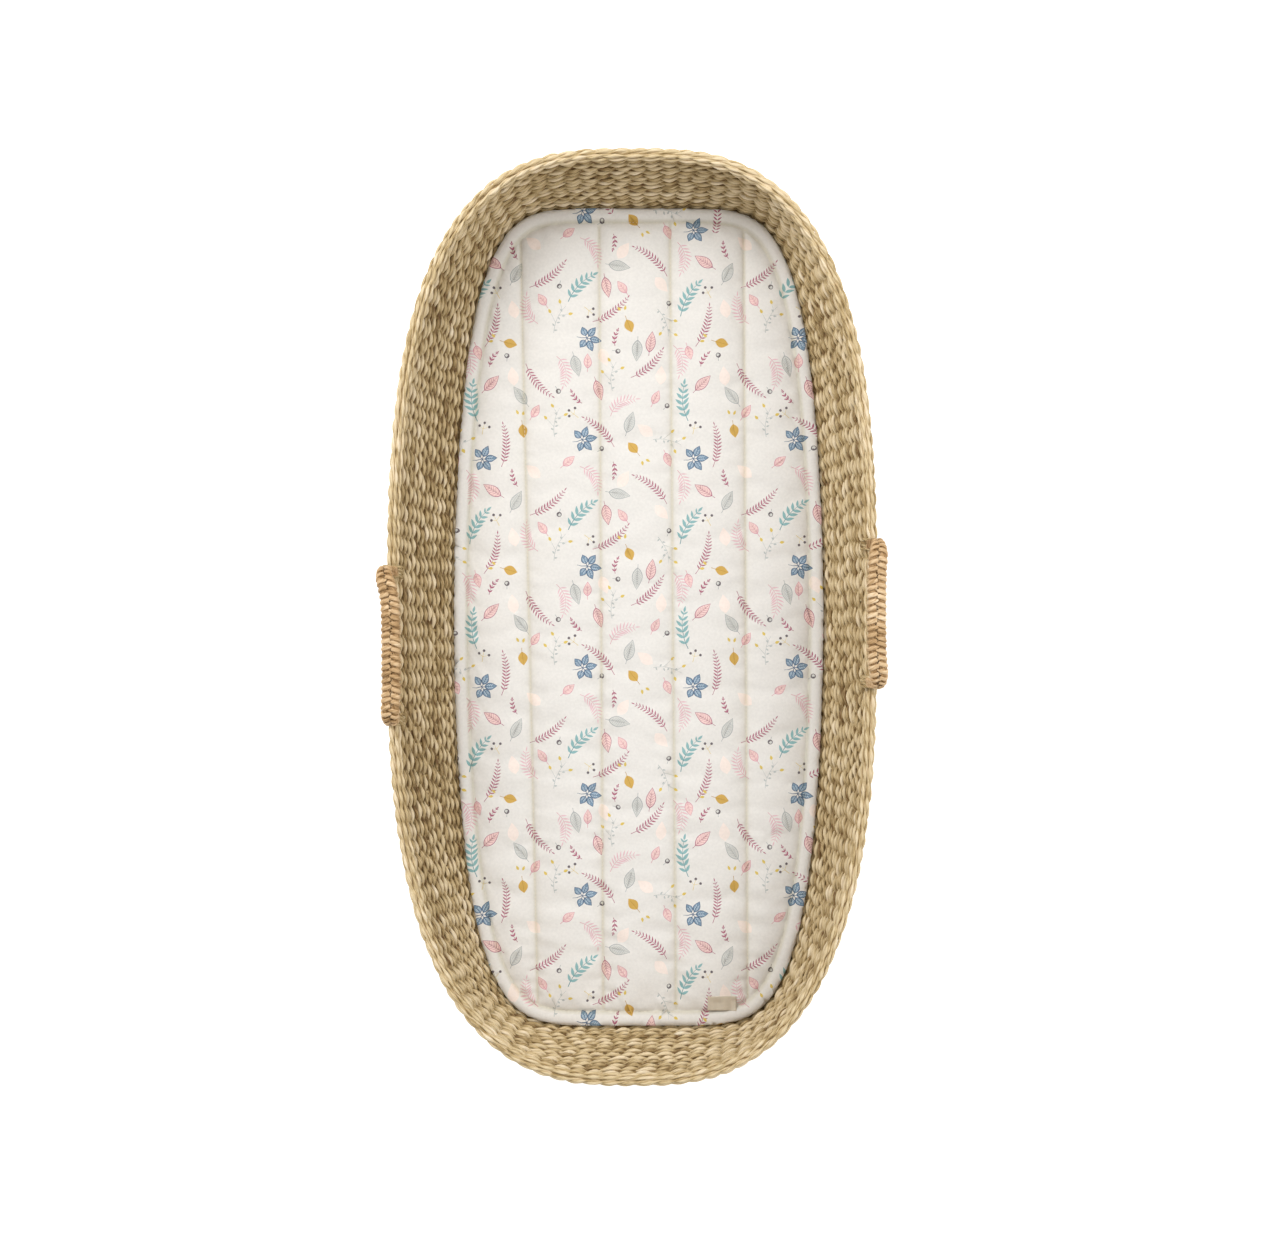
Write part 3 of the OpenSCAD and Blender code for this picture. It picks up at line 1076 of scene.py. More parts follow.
    def build_wrap(self) -> None:
        """Binds the two ropes: each turn goes over one, between them and over the other."""
        length = float(travelled(self.grip(200)[0])[-1])
        turns = round(length / self.pitch)
        count = turns * self.steps
        middle, outwards, kept = self.course(count)
        rng = np.random.default_rng(Seed.LEFT_WRAP if self.side is Side.LEFT else Seed.RIGHT_WRAP)
        turn = 2 * math.pi * np.arange(count) / self.steps + wander(rng, count, turns, 0.14)
        thick, wide = self.strand
        half_width = self.width / 2 - thick
        half_thick = self.thickness / 2 - thick
        across = half_width * np.sin(turn) * kept
        crossing = np.sin(2 * turn + self.lap)
        swell = half_thick * np.sign(crossing) * np.abs(crossing) ** 0.5
        path = middle + self.across * across[:, None] + outwards * swell[:, None]
        ahead = unit(np.gradient(middle, axis=0))
        path = path + ahead * (self.slant * np.abs(np.sin(turn)))[:, None]
        lobe = np.sign(across) * half_width * 0.5
        facing = self.across * (across - lobe)[:, None] + outwards * swell[:, None]
        per_turn = np.repeat(rng.normal(0, 0.13, turns), self.steps)
        tone = self.tone + wander(rng, count, 9, 0.08) + np.roll(per_turn, self.steps // 4)
        if self.side is Side.RIGHT:
            stained, fading, darker = 26 * MM, 8 * MM, 0.42
            tone = tone - darker * np.clip((stained - np.arange(count) / count * length) / fading, 0, 1)
        shift = ahead * wander(rng, count, turns, 0.35 * MM)[:, None]
        weaver = Weaver()
        weaver.strand(path + shift, facing, thick, wide * 0.98, np.clip(tone, 0, 1), sides=8)
        piece = weaver.build(f"{self.side.value}_grip_wrapping", self.finishes.rope)
        self.dress(piece, "handle_wrap", "wrap")

    def build_lashing(self, end: int) -> None:
        """Coils a two-ply cord round the rim border under one foot.

        Args:
            end: 1 for the back foot and -1 for the front one.
        """
        part = "lashing_back" if end == 1 else "lashing_front"
        low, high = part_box(self.node(part))
        cord, turns, steps, ply_steps = 1.7 * MM, 4, 30, 7
        radius = (high.z - low.z) / 2 - cord
        count = turns * steps + 1
        turn = 2 * math.pi * np.arange(count) / steps
        centre = self.pivot + self.along * end * (self.reach - self.thickness / 2)
        slide = (np.arange(count) / (count - 1) - 0.5) * (high.y - low.y - 2.2 * cord)
        away = self.across * np.sin(turn)[:, None] - UP * np.cos(turn)[:, None]
        path = centre + away * radius + self.along * slide[:, None]
        weaver, rng = Weaver(), np.random.default_rng(Seed.LASHING + end)
        twist = 2 * math.pi * np.arange(count) / ply_steps
        for phase in (0.0, math.pi):
            ply = away * np.cos(twist + phase)[:, None] + self.along * np.sin(twist + phase)[:, None]
            tone = np.clip(0.45 + wander(rng, count, 12, 0.15), 0, 1)
            weaver.strand(path + ply * cord * 0.45, ply, cord * 0.55, cord * 0.75, tone, sides=6)
        piece = weaver.build(f"{self.side.value}_{part}_cord", self.finishes.lashing)
        self.dress(piece, "lashing_cord", part)

    def dress(self, piece: bpy.types.Object, slot: str, part: str) -> None:
        """Fixes a piece to the handle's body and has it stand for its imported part."""
        dress(piece, f"handle_{self.side.value}", slot, self.node(part))

    def build(self) -> None:
        """Builds the ropes, the wrapping and both lashings."""
        self.build_ropes()
        self.build_wrap()
        for end in (-1, 1):
            self.build_lashing(end)


# ---- mat: form ------------------------------------------------------------------------------


@dataclass(frozen=True)
class MatForm:
    """The quilted mat's form: a flat cloth in plan, and where each of its points comes to lie.

    Attributes:
        outline: The basket's plan, which the mat's edge follows.
        bottom: Height of the underside.
        seams: Where the channel seams cross the middle of the mat.
        level: Height of the edge at its widest.
        tuck: How far the edge keeps inside the middle of the wall.
        border: Width of the stitched border.
        drop: How far the printed cloth goes down the side, under the widest line.
        steepness: Height that the cloth loses for each unit of its own length down the side.
        roll: Share of the border's width that its outer roll takes.
        crown: Rise of the border's roll above the widest line.
        seam_sink: Depth of the stitching under the widest line.
        fullness: Rise of a channel above its stitching.
        pinch: Extra depth of the crease right at the thread.
        drift: How far each channel seam strays sideways, and its lean.
    """

    outline: Outline
    bottom: float
    seams: tuple[float, ...]
    level: float = 34 * MM
    tuck: float = 4.9 * MM
    border: float = 12 * MM
    drop: float = 10 * MM
    steepness: float = 0.91
    roll: float = 0.4
    crown: float = 1.9 * MM
    seam_sink: float = 1.6 * MM
    fullness: float = 6.0 * MM
    pinch: float = 1.3 * MM
    drift: tuple[tuple[float, float], ...] = (
        (4.2 * MM, -0.0225),
        (0.6 * MM, -0.0054),
        (-3.4 * MM, -0.0078),
        (-6.5 * MM, -0.0053),
    )

    @classmethod
    def from_frame(cls, outline: Outline) -> MatForm:
        """Measures the mat on its packed cover and wadding."""
        boxes = [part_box(f"mat_wadding_{k}") for k in range(1, 6)]
        seams = tuple((boxes[k][1].x + boxes[k + 1][0].x) / 2 for k in range(4))
        return cls(outline=outline, bottom=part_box("mat_cover_base")[0].z, seams=seams)

    @property
    def centre(self) -> float:
        """The X of the mat's middle line."""
        return self.outline.middle(self.level)

    def polar(self, points: Array) -> tuple[Array, Array, Array]:
        """Measures points against the widest line.

        Args:
            points: Rows of x and y.

        Returns:
            How far inside it they lie, the angles there, and the outward normals.
        """
        foot = points
        for _ in range(4):
            angle = self.outline.towards(self.level, -self.tuck, foot)
            reach, normal = self.rim_at(angle)
            inside = ((reach - points) * normal).sum(axis=1)
            foot = points + normal * inside[:, None]
        return inside, angle, normal

    def rim_at(self, angle: Array) -> tuple[Array, Array]:
        """Returns the widest line's points at some angles, and the outward normals there."""
        reach = self.outline.plan(self.level, -self.tuck, angle)
        along = unit(self.outline.plan(self.level, -self.tuck, angle + 1e-3) - reach)
        return reach, np.column_stack([along[:, 1], -along[:, 0]])

    def edge(self, inset: float, count: int) -> Array:
        """Returns even points of the edge, moved inwards by inset."""
        reach, normal = self.rim_at(self.outline.angles(self.level, -self.tuck, count))
        return reach - normal * inset

    def lanes(self, y: Array) -> Array:
        """Finds the limits of the five channels.

        Args:
            y: Places along the mat.

        Returns:
            For each place, the x of the left limit, the four seams and the right limit.
        """
        half = self.outline.plan(self.level, -self.tuck - self.border, np.zeros(1))[0, 0] - self.centre
        seams = [x + shift + lean * y for x, (shift, lean) in zip(self.seams, self.drift)]
        ends = [np.full_like(y, self.centre + side * half) for side in (-1, 1)]
        return np.column_stack([ends[0], *seams, ends[1]])

    def channel(self, points: Array) -> tuple[Array, Array]:
        """Measures points across the channels.

        Args:
            points: Rows of x and y.

        Returns:
            The place across, where whole numbers are seams, and the distance to the nearest seam.
        """
        limits = self.lanes(points[:, 1])
        index = np.clip((points[:, :1] >= limits).sum(axis=1) - 1, 0, 4)
        rows = np.arange(len(points))
        low, high = limits[rows, index], limits[rows, index + 1]
        near = np.abs(points[:, :1] - limits[:, 1:5]).min(axis=1)
        return index + (points[:, 0] - low) / (high - low), near

    def swell(self, points: Array, inside: Array) -> Array:
        """Returns the padding's plain rise above the stitching, from 0 at a seam to 1."""
        _, near = self.channel(points)
        border = np.maximum(inside - self.border, 0)
        corner, middle, shoulder = 4 * MM, 33 * MM, 5.5 * MM
        both = -np.log(np.exp(-near / corner) + np.exp(-border / corner)) * corner
        both = np.clip(both, 0, middle)
        steep = 1 - np.exp(-both / shoulder)
        return 0.55 * steep + 0.45 * np.sin(both / middle * math.pi / 2)

    def pucker(self, points: Array, inside: Array) -> Array:
        """Returns the crease at each seam and the small gathers that the thread draws across it."""
        _, near = self.channel(points)
        border = np.maximum(inside - self.border, 0)
        lengthwise = np.sin(points[:, 1] * 450 + 5 * np.sin(points[:, 1] * 37) + points[:, 0] * 60)
        crosswise = np.sin(points[:, 0] * 450 + points[:, 1] * 310 + 4 * np.sin(points[:, 0] * 53))
        reach, thread = 5 * MM, 1.7 * MM
        gather = lengthwise * near * np.exp(-near / reach) + crosswise * border * np.exp(-border / reach)
        crease = np.exp(-((near / thread) ** 2)) + np.exp(-((border / thread) ** 2))
        return gather * 0.26 - self.pinch * np.minimum(crease, 1)

    def lay(self, points: Array, quilt: Callable[[Array], Array] | None = None) -> Array:
        """Lays points of the flat cloth on the mat.

        Args:
            points: Rows of x and y on the cloth.
            quilt: Gives the simulated cloth's displacement at points; without it, the plain rise.

        Returns:
            Rows of x, y and z.
        """
        inside, angle, normal = self.polar(points)
        share = np.clip(inside / self.border, 0, 1)
        roll = self.roll
        outer = np.clip(share / roll, 0, 1) * math.pi / 2
        inset = np.where(share < roll, roll * self.border * (1 - np.cos(outer)), share * self.border)
        valley = np.clip((share - roll) / (1 - roll), 0, 1)
        sunk = (self.crown + self.seam_sink) * valley**2.2 + self.pinch * np.clip(valley * 4 - 3, 0, 1) ** 2
        height = self.level + self.crown * np.sin(outer) - sunk
        moved = points + normal * (np.clip(inside, 0, self.border) - inset)[:, None]
        under = np.clip(inside, -self.drop, 0) * self.steepness
        side = self.outline.plan(self.level + under, -self.tuck, angle)
        flat = np.where(inside[:, None] < 0, side, moved)
        height = np.where(inside < 0, self.level + under, height)
        laid = np.column_stack([flat, height])
        deep = inside > self.border
        if quilt is None:
            laid[deep, 2] += self.fullness * self.swell(points, inside)[deep]
        else:
            laid[deep] += quilt(points[deep])
        laid[deep, 2] += self.pucker(points, inside)[deep]
        return laid


@dataclass
class QuiltCloth:
    """The upper cloth between its seams, puffed up by a cloth simulation.

    Attributes:
        form: The mat's form.
        across: Squares of cloth across a channel.
        pitch: Size of a square along the mat.
        pressure: The wadding's push.
        slack: How much longer the cloth is than the space between its seams.
        most: The most that it may rise.
        sideways: The most that it may move in plan.
        frames: How many frames the cloth settles for.
        shift: How far each point moved, once simulated.
    """

    form: MatForm
    across: int = 16
    pitch: float = 4.2 * MM
    pressure: float = 4.0
    slack: float = 0.03
    most: float = 7.0 * MM
    sideways: float = 1.2 * MM
    frames: int = 20
    shift: Array | None = None

    def __post_init__(self) -> None:
        """Sets out the squares."""
        half = float(self.form.edge(0, 360)[:, 1].max())
        self.rows = 2 * round(half / self.pitch) + 1
        self.y = np.linspace(-half, half, self.rows)
        lanes = self.form.lanes(self.y)
        place = np.arange(5 * self.across + 1) / self.across
        self.x = np.array([np.interp(place, np.arange(6), row) for row in lanes])

    def simulate(self) -> None:
        """Pins the cloth along every seam, blows it up and keeps how far each point moved."""
        rows, columns = self.x.shape
        flat = np.column_stack([self.x.ravel(), np.repeat(self.y, columns)])
        inside, _, _ = self.form.polar(flat)
        start = 0.45 * self.form.fullness * self.form.swell(flat, inside)
        rng = np.random.default_rng(Seed.QUILT)
        start += rng.normal(0, 0.05 * MM, len(flat))
        sewn = (inside < self.form.border + 1 * MM) | (np.tile(np.arange(columns), rows) % self.across == 0)
        start[sewn] = 0
        mesh = bpy.data.meshes.new("quilt_cloth")
        mesh.from_pydata(np.column_stack([flat, start]).tolist(), [], grid_quads(rows, columns).tolist())
        cloth = new_piece("quilt_cloth", mesh)
        cloth.vertex_groups.new(name="sewn").add(np.flatnonzero(sewn).tolist(), 1.0, "REPLACE")
        modifier = cloth.modifiers.new("Cloth", "CLOTH")
        settings = modifier.settings
        settings.vertex_group_mass = "sewn"
        settings.use_pressure = True
        settings.uniform_pressure_force = self.pressure
        settings.effector_weights.gravity = 0
        settings.shrink_min = -self.slack
        settings.quality = 6
        settings.bending_stiffness = 0.15
        modifier.collision_settings.use_self_collision = False
        modifier.point_cache.frame_end = self.frames
        scene = bpy.context.scene
        for step in range(1, self.frames + 1):
            scene.frame_set(step)
        graph = bpy.context.evaluated_depsgraph_get()
        posed = cloth.evaluated_get(graph).to_mesh()
        moved = np.empty(len(flat) * 3, np.float32)
        posed.vertices.foreach_get("co", moved)
        cloth.evaluated_get(graph).to_mesh_clear()
        scene.frame_set(1)
        bpy.data.objects.remove(cloth)
        shift = moved.reshape(-1, 3) - np.column_stack([flat, np.zeros(len(flat))])
        LOG.info("quilt: crowns %.1f to %.1f mm", *(np.percentile(shift[~sewn, 2], (50, 99)) / MM))
        shift[:, 2] = self.most * np.tanh(np.maximum(shift[:, 2], 0) / self.most)
        shift[:, :2] = np.clip(shift[:, :2], -self.sideways, self.sideways)
        shift[sewn] = 0
        self.shift = shift.reshape(rows, columns, 3)

    def at(self, points: Array) -> Array:
        """Reads the cloth's movement smoothly between its squares.

        Args:
            points: Rows of x and y on the flat cloth.

        Returns:
            Rows of movement along X, Y and Z.
        """
        place, _ = self.form.channel(points)
        column = np.clip(place * self.across, 0, self.x.shape[1] - 1.001)
        row = np.clip((points[:, 1] - self.y[0]) / (self.y[1] - self.y[0]), 0, self.rows - 1.001)
        whole = [np.floor(v).astype(int) for v in (row, column)]
        result = np.zeros((len(points), 3))
        weights = [self.spline(v - w) for v, w in zip((row, column), whole)]
        for i in range(4):
            for j in range(4):
                r = np.clip(whole[0] + i - 1, 0, self.rows - 1)
                c = np.clip(whole[1] + j - 1, 0, self.x.shape[1] - 1)
                result += self.shift[r, c] * (weights[0][i] * weights[1][j])[:, None]
        return result

    @staticmethod
    def spline(t: Array) -> tuple[Array, ...]:
        """Returns the four smooth weights of a place between two squares."""
        return (
            (1 - t) ** 3 / 6,
            (3 * t**3 - 6 * t**2 + 4) / 6,
            (-3 * t**3 + 3 * t**2 + 3 * t + 1) / 6,
            t**3 / 6,
        )


# ---- mat: print -----------------------------------------------------------------------------


class Ink(Enum):
    """The print's inks."""

    NAVY = linear(78, 102, 130)
    DENIM = linear(124, 150, 172)
    SKY = linear(206, 218, 228)
    TEAL = linear(138, 180, 182)
    SEA = linear(102, 148, 156)
    MUSTARD = linear(208, 168, 84)
    OCHRE = linear(180, 138, 58)
    MIST = linear(212, 212, 207)
    SLATE = linear(164, 167, 168)
    SALMON = linear(240, 208, 203)
    PETAL = linear(224, 184, 192)
    ROSE = linear(212, 150, 164)
    WINE = linear(170, 96, 120)
    BLUSH = linear(246, 232, 223)
    TWIG = linear(186, 190, 188)
    BERRY = linear(104, 96, 100)
    GOLD = linear(218, 192, 96)


Patch = tuple[Array, Ink]


def leaf(
    length: float,
    width: float,
    root: tuple[float, float] = (0, 0),
    turn: float = 0,
    count: int = 7,
    belly: float = 0.8,
) -> Array:
    """Draws the outline of a pointed leaf, in millimetres.

    Args:
        length: From its root to its tip.
        width: Across its widest part.
        root: Where it grows from.
        turn: The way it grows, in degrees from the X axis.
        count: Points along each side.
        belly: Below one puts its widest part nearer the root.

    Returns:
        The closed outline, anticlockwise.
    """
    t = np.linspace(0, 1, count)
    half = np.sin(math.pi * t**belly) * width / 2
    lower = np.column_stack([t * length, -half])
    upper = np.column_stack([t[-2:0:-1] * length, half[-2:0:-1]])
    return placed(np.vstack([lower, upper]), root, turn)


def placed(points: Array, root: tuple[float, float], turn: float) -> Array:
    """Turns points by an angle in degrees and moves them to a root."""
    c, s = math.cos(math.radians(turn)), math.sin(math.radians(turn))
    return points @ np.array([[c, s], [-s, c]]) + np.asarray(root)


def stroke(line: Array, width: float) -> Array:
    """Draws a pen stroke along a line, narrower at its far end."""
    line = np.asarray(line, float)
    ahead = unit(np.gradient(line, axis=0))
    side = np.column_stack([-ahead[:, 1], ahead[:, 0]])
    half = (width / 2 * np.linspace(1, 0.45, len(line)))[:, None]
    return np.vstack([line - side * half, (line + side * half)[::-1]])


def dot(radius: float, at: tuple[float, float], count: int = 9) -> Array:
    """Draws a round spot."""
    turn = 2 * math.pi * np.arange(count) / count
    return np.column_stack([np.cos(turn), np.sin(turn)]) * radius + np.asarray(at)


def bow(length: float, sag: float, count: int = 9) -> Array:
    """Draws a bowed line from the origin along X."""
    t = np.linspace(0, 1, count)
    return np.column_stack([t * length, 4 * sag * t * (1 - t)])


class Sprig:
    """The drawings that the print repeats, each in millimetres about its own middle."""

    @staticmethod
    def fronds(
        stem: Array, pairs: int, size: tuple[float, float], angle: float, ink: Ink, stalk: Ink, pen: float
    ) -> list[Patch]:
        """Draws a stem with pairs of leaflets that shorten towards its tip.

        Args:
            stem: The stem's line.
            pairs: How many pairs.
            size: Length and width of the largest leaflet.
            angle: Between a leaflet and the stem, in degrees.
            ink: The leaflets' ink.
            stalk: The stem's ink.
            pen: The stem's width.

        Returns:
            The patches, in painting order.
        """
        run = np.linspace(0, 1, len(stem))
        parts: list[Patch] = []
        for k in range(pairs):
            t = 0.14 + 0.80 * k / (pairs - 1)
            root = np.array([np.interp(t, run, stem[:, i]) for i in range(2)])
            ahead = np.array([np.interp(min(t + 0.05, 1), run, stem[:, i]) for i in range(2)]) - root
            heading = math.degrees(math.atan2(ahead[1], ahead[0]))
            full = math.sin(math.pi * (0.22 + 0.66 * t)) ** 0.8
            for side in (-1, 1):
                shape = leaf(size[0] * full, size[1] * full, tuple(root), heading + side * angle, 5)
                parts.append((shape, ink))
        heading = math.degrees(math.atan2(*(stem[-1] - stem[-2])[::-1]))
        parts.append((leaf(size[0] * 0.7, size[1] * 0.75, tuple(stem[-1]), heading, 5), ink))
        parts.append((stroke(stem, pen), stalk))
        return parts

    @classmethod
    def fern(cls) -> list[Patch]:
        """Draws the broad teal fern."""
        stem = bow(33, 3) - [18, 1]
        return cls.fronds(stem, 6, (8.6, 3.0), 46, Ink.TEAL, Ink.SEA, 0.7)

    @classmethod
    def comb(cls) -> list[Patch]:
        """Draws the narrow wine-red comb fern."""
        stem = bow(38, -3.5) - [19, -2]
        return cls.fronds(stem, 11, (4.9, 1.35), 54, Ink.WINE, Ink.WINE, 0.5)

    @classmethod
    def plume(cls) -> list[Patch]:
        """Draws the short rose plume."""
        stem = bow(27, 5) - [14, 2]
        return cls.fronds(stem, 9, (7.4, 1.35), 56, Ink.PETAL, Ink.ROSE, 0.45)

    @classmethod
    def spray(cls) -> list[Patch]:
        """Draws a small wine-red spray."""
        return cls.fronds(bow(14, 1.5) - [8, 0], 4, (4.0, 1.5), 40, Ink.WINE, Ink.WINE, 0.5)

    @staticmethod
    def veined(length: float, width: float, fill: Ink, line: Ink, ribs: int) -> list[Patch]:
        """Draws an outlined leaf with a midrib and side veins.

        Args:
            length: Its length.
            width: Its width.
            fill: The ink inside.
            line: The ink of its outline and veins.
            ribs: Veins on each side.

        Returns:
            The patches, in painting order.
        """
        middle = -length / 2
        parts = [
            (leaf(length, width, (middle, 0), 0, 10), line),
            (leaf(length - 1.6, width - 1.1, (middle + 0.9, 0), 0, 10), fill),
            (stroke(np.array([[middle - 3, 0], [middle + 1, 0], [-middle - 2, 0]]), 0.5), line),
        ]
        for k in range(ribs):
            x = middle + length * (0.14 + 0.62 * k / ribs)
            reach = width * 0.40 * math.sin(math.pi * (0.2 + 0.62 * (k + 0.5) / ribs))
            for side in (-1, 1):
                rib = stroke(np.array([[x + 0.4, side * 0.3], [x + reach * 0.9, side * reach]]), 0.38)
                parts.append((rib, line))
        return parts

    @classmethod
    def mist_leaf(cls) -> list[Patch]:
        """Draws the pale hatched leaf."""
        return cls.veined(20, 9.5, Ink.MIST, Ink.SLATE, 7)

    @classmethod
    def wine_leaf(cls) -> list[Patch]:
        """Draws the wine-lined leaf."""
        return cls.veined(19, 9, Ink.SALMON, Ink.WINE, 5)

    @classmethod
    def salmon_leaf(cls) -> list[Patch]:
        """Draws the small pink leaf."""
        return cls.veined(13.5, 7.5, Ink.SALMON, Ink.ROSE, 3)

    @staticmethod
    def cluster() -> list[Patch]:
        """Draws the blue hand of five leaves."""
        parts: list[Patch] = []
        for turn, length in ((-8, 11.5), (52, 11), (-66, 10.5), (112, 9), (-126, 8.5)):
            roots = placed(np.array([[2.2, 0], [2.9, 0]]), (0, 0), turn)
            parts.append((leaf(length, 6.5, tuple(roots[0]), turn, 8), Ink.NAVY))
            parts.append((leaf(length - 1.5, 5.1, tuple(roots[1]), turn, 8), Ink.DENIM))
            parts.append((stroke(placed(np.array([[0, 0], [length * 0.9, 0]]), (0, 0), turn), 0.6), Ink.NAVY))
            for step in (0.40, 0.56, 0.72):
                for side in (-1, 1):
                    vein = np.array([[length * step, 0.45 * side], [length * (step + 0.17), 1.9 * side]])
                    parts.append((stroke(placed(vein, (0, 0), turn), 0.5), Ink.SKY))
        parts.append((stroke(np.array([[0.5, 0.4], [-5, 0.2], [-9, 1.2]]), 0.7), Ink.NAVY))
        return parts

    @staticmethod
    def bud() -> list[Patch]:
        """Draws the mustard bud, with two small leaves under it."""
        return [
            (leaf(12.5, 8.6, (-3.5, 0), 0, 9, 0.9), Ink.MUSTARD),
            (stroke(np.array([[-7, 0.2], [-3, 0], [7.5, 0]]), 0.5), Ink.OCHRE),
            (leaf(4.6, 2.4, (-11.5, 1.6), 150, 5), Ink.GOLD),
            (leaf(4.6, 2.4, (-12.5, -1.8), 200, 5), Ink.GOLD),
        ]

    @staticmethod
    def twig() -> list[Patch]:
        """Draws the thin forked twig with yellow tips."""
        parts = [(stroke(bow(26, 2.5) - [13, 0], 0.55), Ink.TWIG)]
        for x, y, turn, length in ((-4, 2.4, 52, 9), (3, 2.2, -58, 8), (8, 1.4, 40, 6)):
            end = placed(np.array([[length, 0]]), (x, y), turn)[0]
            parts.append((stroke(np.array([[x, y], end]), 0.45), Ink.TWIG))
            parts.append((leaf(4.4, 2.6, tuple(end), turn, 5), Ink.GOLD))
        for k in range(6):
            root = (-11 + 3.6 * k, 0.8 + 1.2 * math.sin(k * 1.3))
            parts.append((leaf(3.2, 1.5, root, 60 if k % 2 else -60, 5), Ink.TWIG))
        return parts

    @staticmethod
    def berries() -> list[Patch]:
        """Draws three small berries on a forked stalk."""
        parts: list[Patch] = []
        for x, y in ((4.5, 3.2), (5.2, -2.6), (-0.5, 4.4)):
            parts.append((stroke(np.array([[-4, -3], [0, 0], [x, y]]), 0.45), Ink.GOLD))
            parts.append((dot(1.25, (x, y), 8), Ink.BERRY))
        return parts

    @staticmethod
    def berry() -> list[Patch]:
        """Draws one berry with a light spot."""
        return [
            (stroke(np.array([[-5, 0.8], [0, 0]]), 0.5), Ink.SLATE),
            (dot(2.3, (0, 0), 10), Ink.BERRY),
            (dot(1.35, (0.3, 0.3), 8), Ink.MIST),
            (dot(0.6, (-0.6, -0.7), 6), Ink.BERRY),
        ]

    @staticmethod
    def ghost() -> list[Patch]:
        """Draws the faint blush leaf behind the others."""
        return [(leaf(17, 10, (-8.5, 0), 0, 8), Ink.BLUSH)]


@dataclass(frozen=True)
class Spot:
    """Where one drawing goes in the repeat.

    Attributes:
        parts: The drawing.
        at: Its middle, in metres.
        turn: Its turn, in degrees.
    """

    parts: list[Patch]
    at: Array
    turn: float


@dataclass
class PrintRepeat:
    """A scattered botanical print, arranged once and repeated over the cloth.

    Attributes:
        size: Width and height of the repeat.
        counts: How many of each drawing it holds, its half length and its half width in millimetres.
        headings: The ways that drawings point, in degrees.
        tries: Places that are tried for each drawing.
    """

    size: tuple[float, float] = (0.190, 0.205)
    counts: tuple[tuple[Callable[[], list[Patch]], int, float, float], ...] = (
        (Sprig.fern, 3, 20, 6.2),
        (Sprig.cluster, 3, 12, 10.5),
        (Sprig.comb, 8, 20, 3.8),
        (Sprig.plume, 6, 15, 5),
        (Sprig.twig, 5, 14, 5.5),
        (Sprig.bud, 4, 11, 4.2),
        (Sprig.mist_leaf, 6, 11, 4.8),
        (Sprig.wine_leaf, 5, 11, 4.8),
        (Sprig.salmon_leaf, 8, 8, 4),
        (Sprig.spray, 5, 8, 3.5),
        (Sprig.berries, 4, 6, 4.5),
        (Sprig.berry, 7, 4, 3),
        (Sprig.ghost, 8, 6, 4),
    )
    headings: tuple[int, ...] = (90, 60, 120, 45, 135, 75, 0, -60, -80)
    tries: int = 260

    def arrange(self) -> list[Spot]:
        """Scatters the drawings, each as far from its own kind as it can be."""
        rng = np.random.default_rng(Seed.PRINT)
        size = np.array(self.size)
        taken, radii, spots = np.empty((0, 2)), np.empty(0), []
        for draw, count, half, breadth in self.counts:
            alike: list[Array] = []
            beads = np.linspace(-1, 1, max(2, round(half / breadth) + 1)) * (half - breadth) * MM
            for _ in range(count):
                best, best_score = None, -math.inf
                for _ in range(self.tries):
                    at = rng.random(2) * size
                    turn = rng.choice(self.headings) + rng.normal(0, 9)
                    heading = np.array([math.cos(math.radians(turn)), math.sin(math.radians(turn))])
                    body = at + beads[:, None] * heading
                    room = 9.0
                    if len(taken):
                        apart = self.apart(body[:, None], taken[None])
                        room = float((apart - radii[None] - breadth * MM).min() / MM)
                    away = min((float(self.apart(at, other)) for other in alike), default=0.1)
                    score = min(room, 1.2) * 60 + away / MM
                    if score > best_score:
                        best, best_score = (at, turn, body), score
                at, turn, body = best
                alike.append(at)
                taken = np.vstack([taken, body])
                radii = np.append(radii, np.full(len(body), breadth * MM))
                spots.append(Spot(parts=draw(), at=at, turn=float(turn)))
        return spots

    def apart(self, a: Array, b: Array) -> Array:
        """Measures distances between points of the repeat, across its edges too."""
        size = np.array(self.size)
        gap = np.abs(a - b) % size
        return np.linalg.norm(np.minimum(gap, size - gap), axis=-1)

    def over(self, low: Array, high: Array) -> list[Patch]:
        """Repeats the print over a rectangle.

        Args:
            low: Its lowest corner.
            high: Its highest corner.

        Returns:
            Every patch, in metres, in painting order.
        """
        spots = self.arrange()
        first = np.floor(low / self.size).astype(int) - 1
        last = np.ceil(high / self.size).astype(int) + 1
        patches: list[Patch] = []
        for i in range(first[0], last[0]):
            for j in range(first[1], last[1]):
                corner = np.array([i, j]) * self.size
                for spot in spots:
                    for shape, ink in spot.parts:
                        patches.append((placed(shape * MM, spot.at + corner, spot.turn), ink))
        patches.sort(key=lambda patch: patch[1] is not Ink.BLUSH)
        return patches


# ---- mat: pieces ----------------------------------------------------------------------------


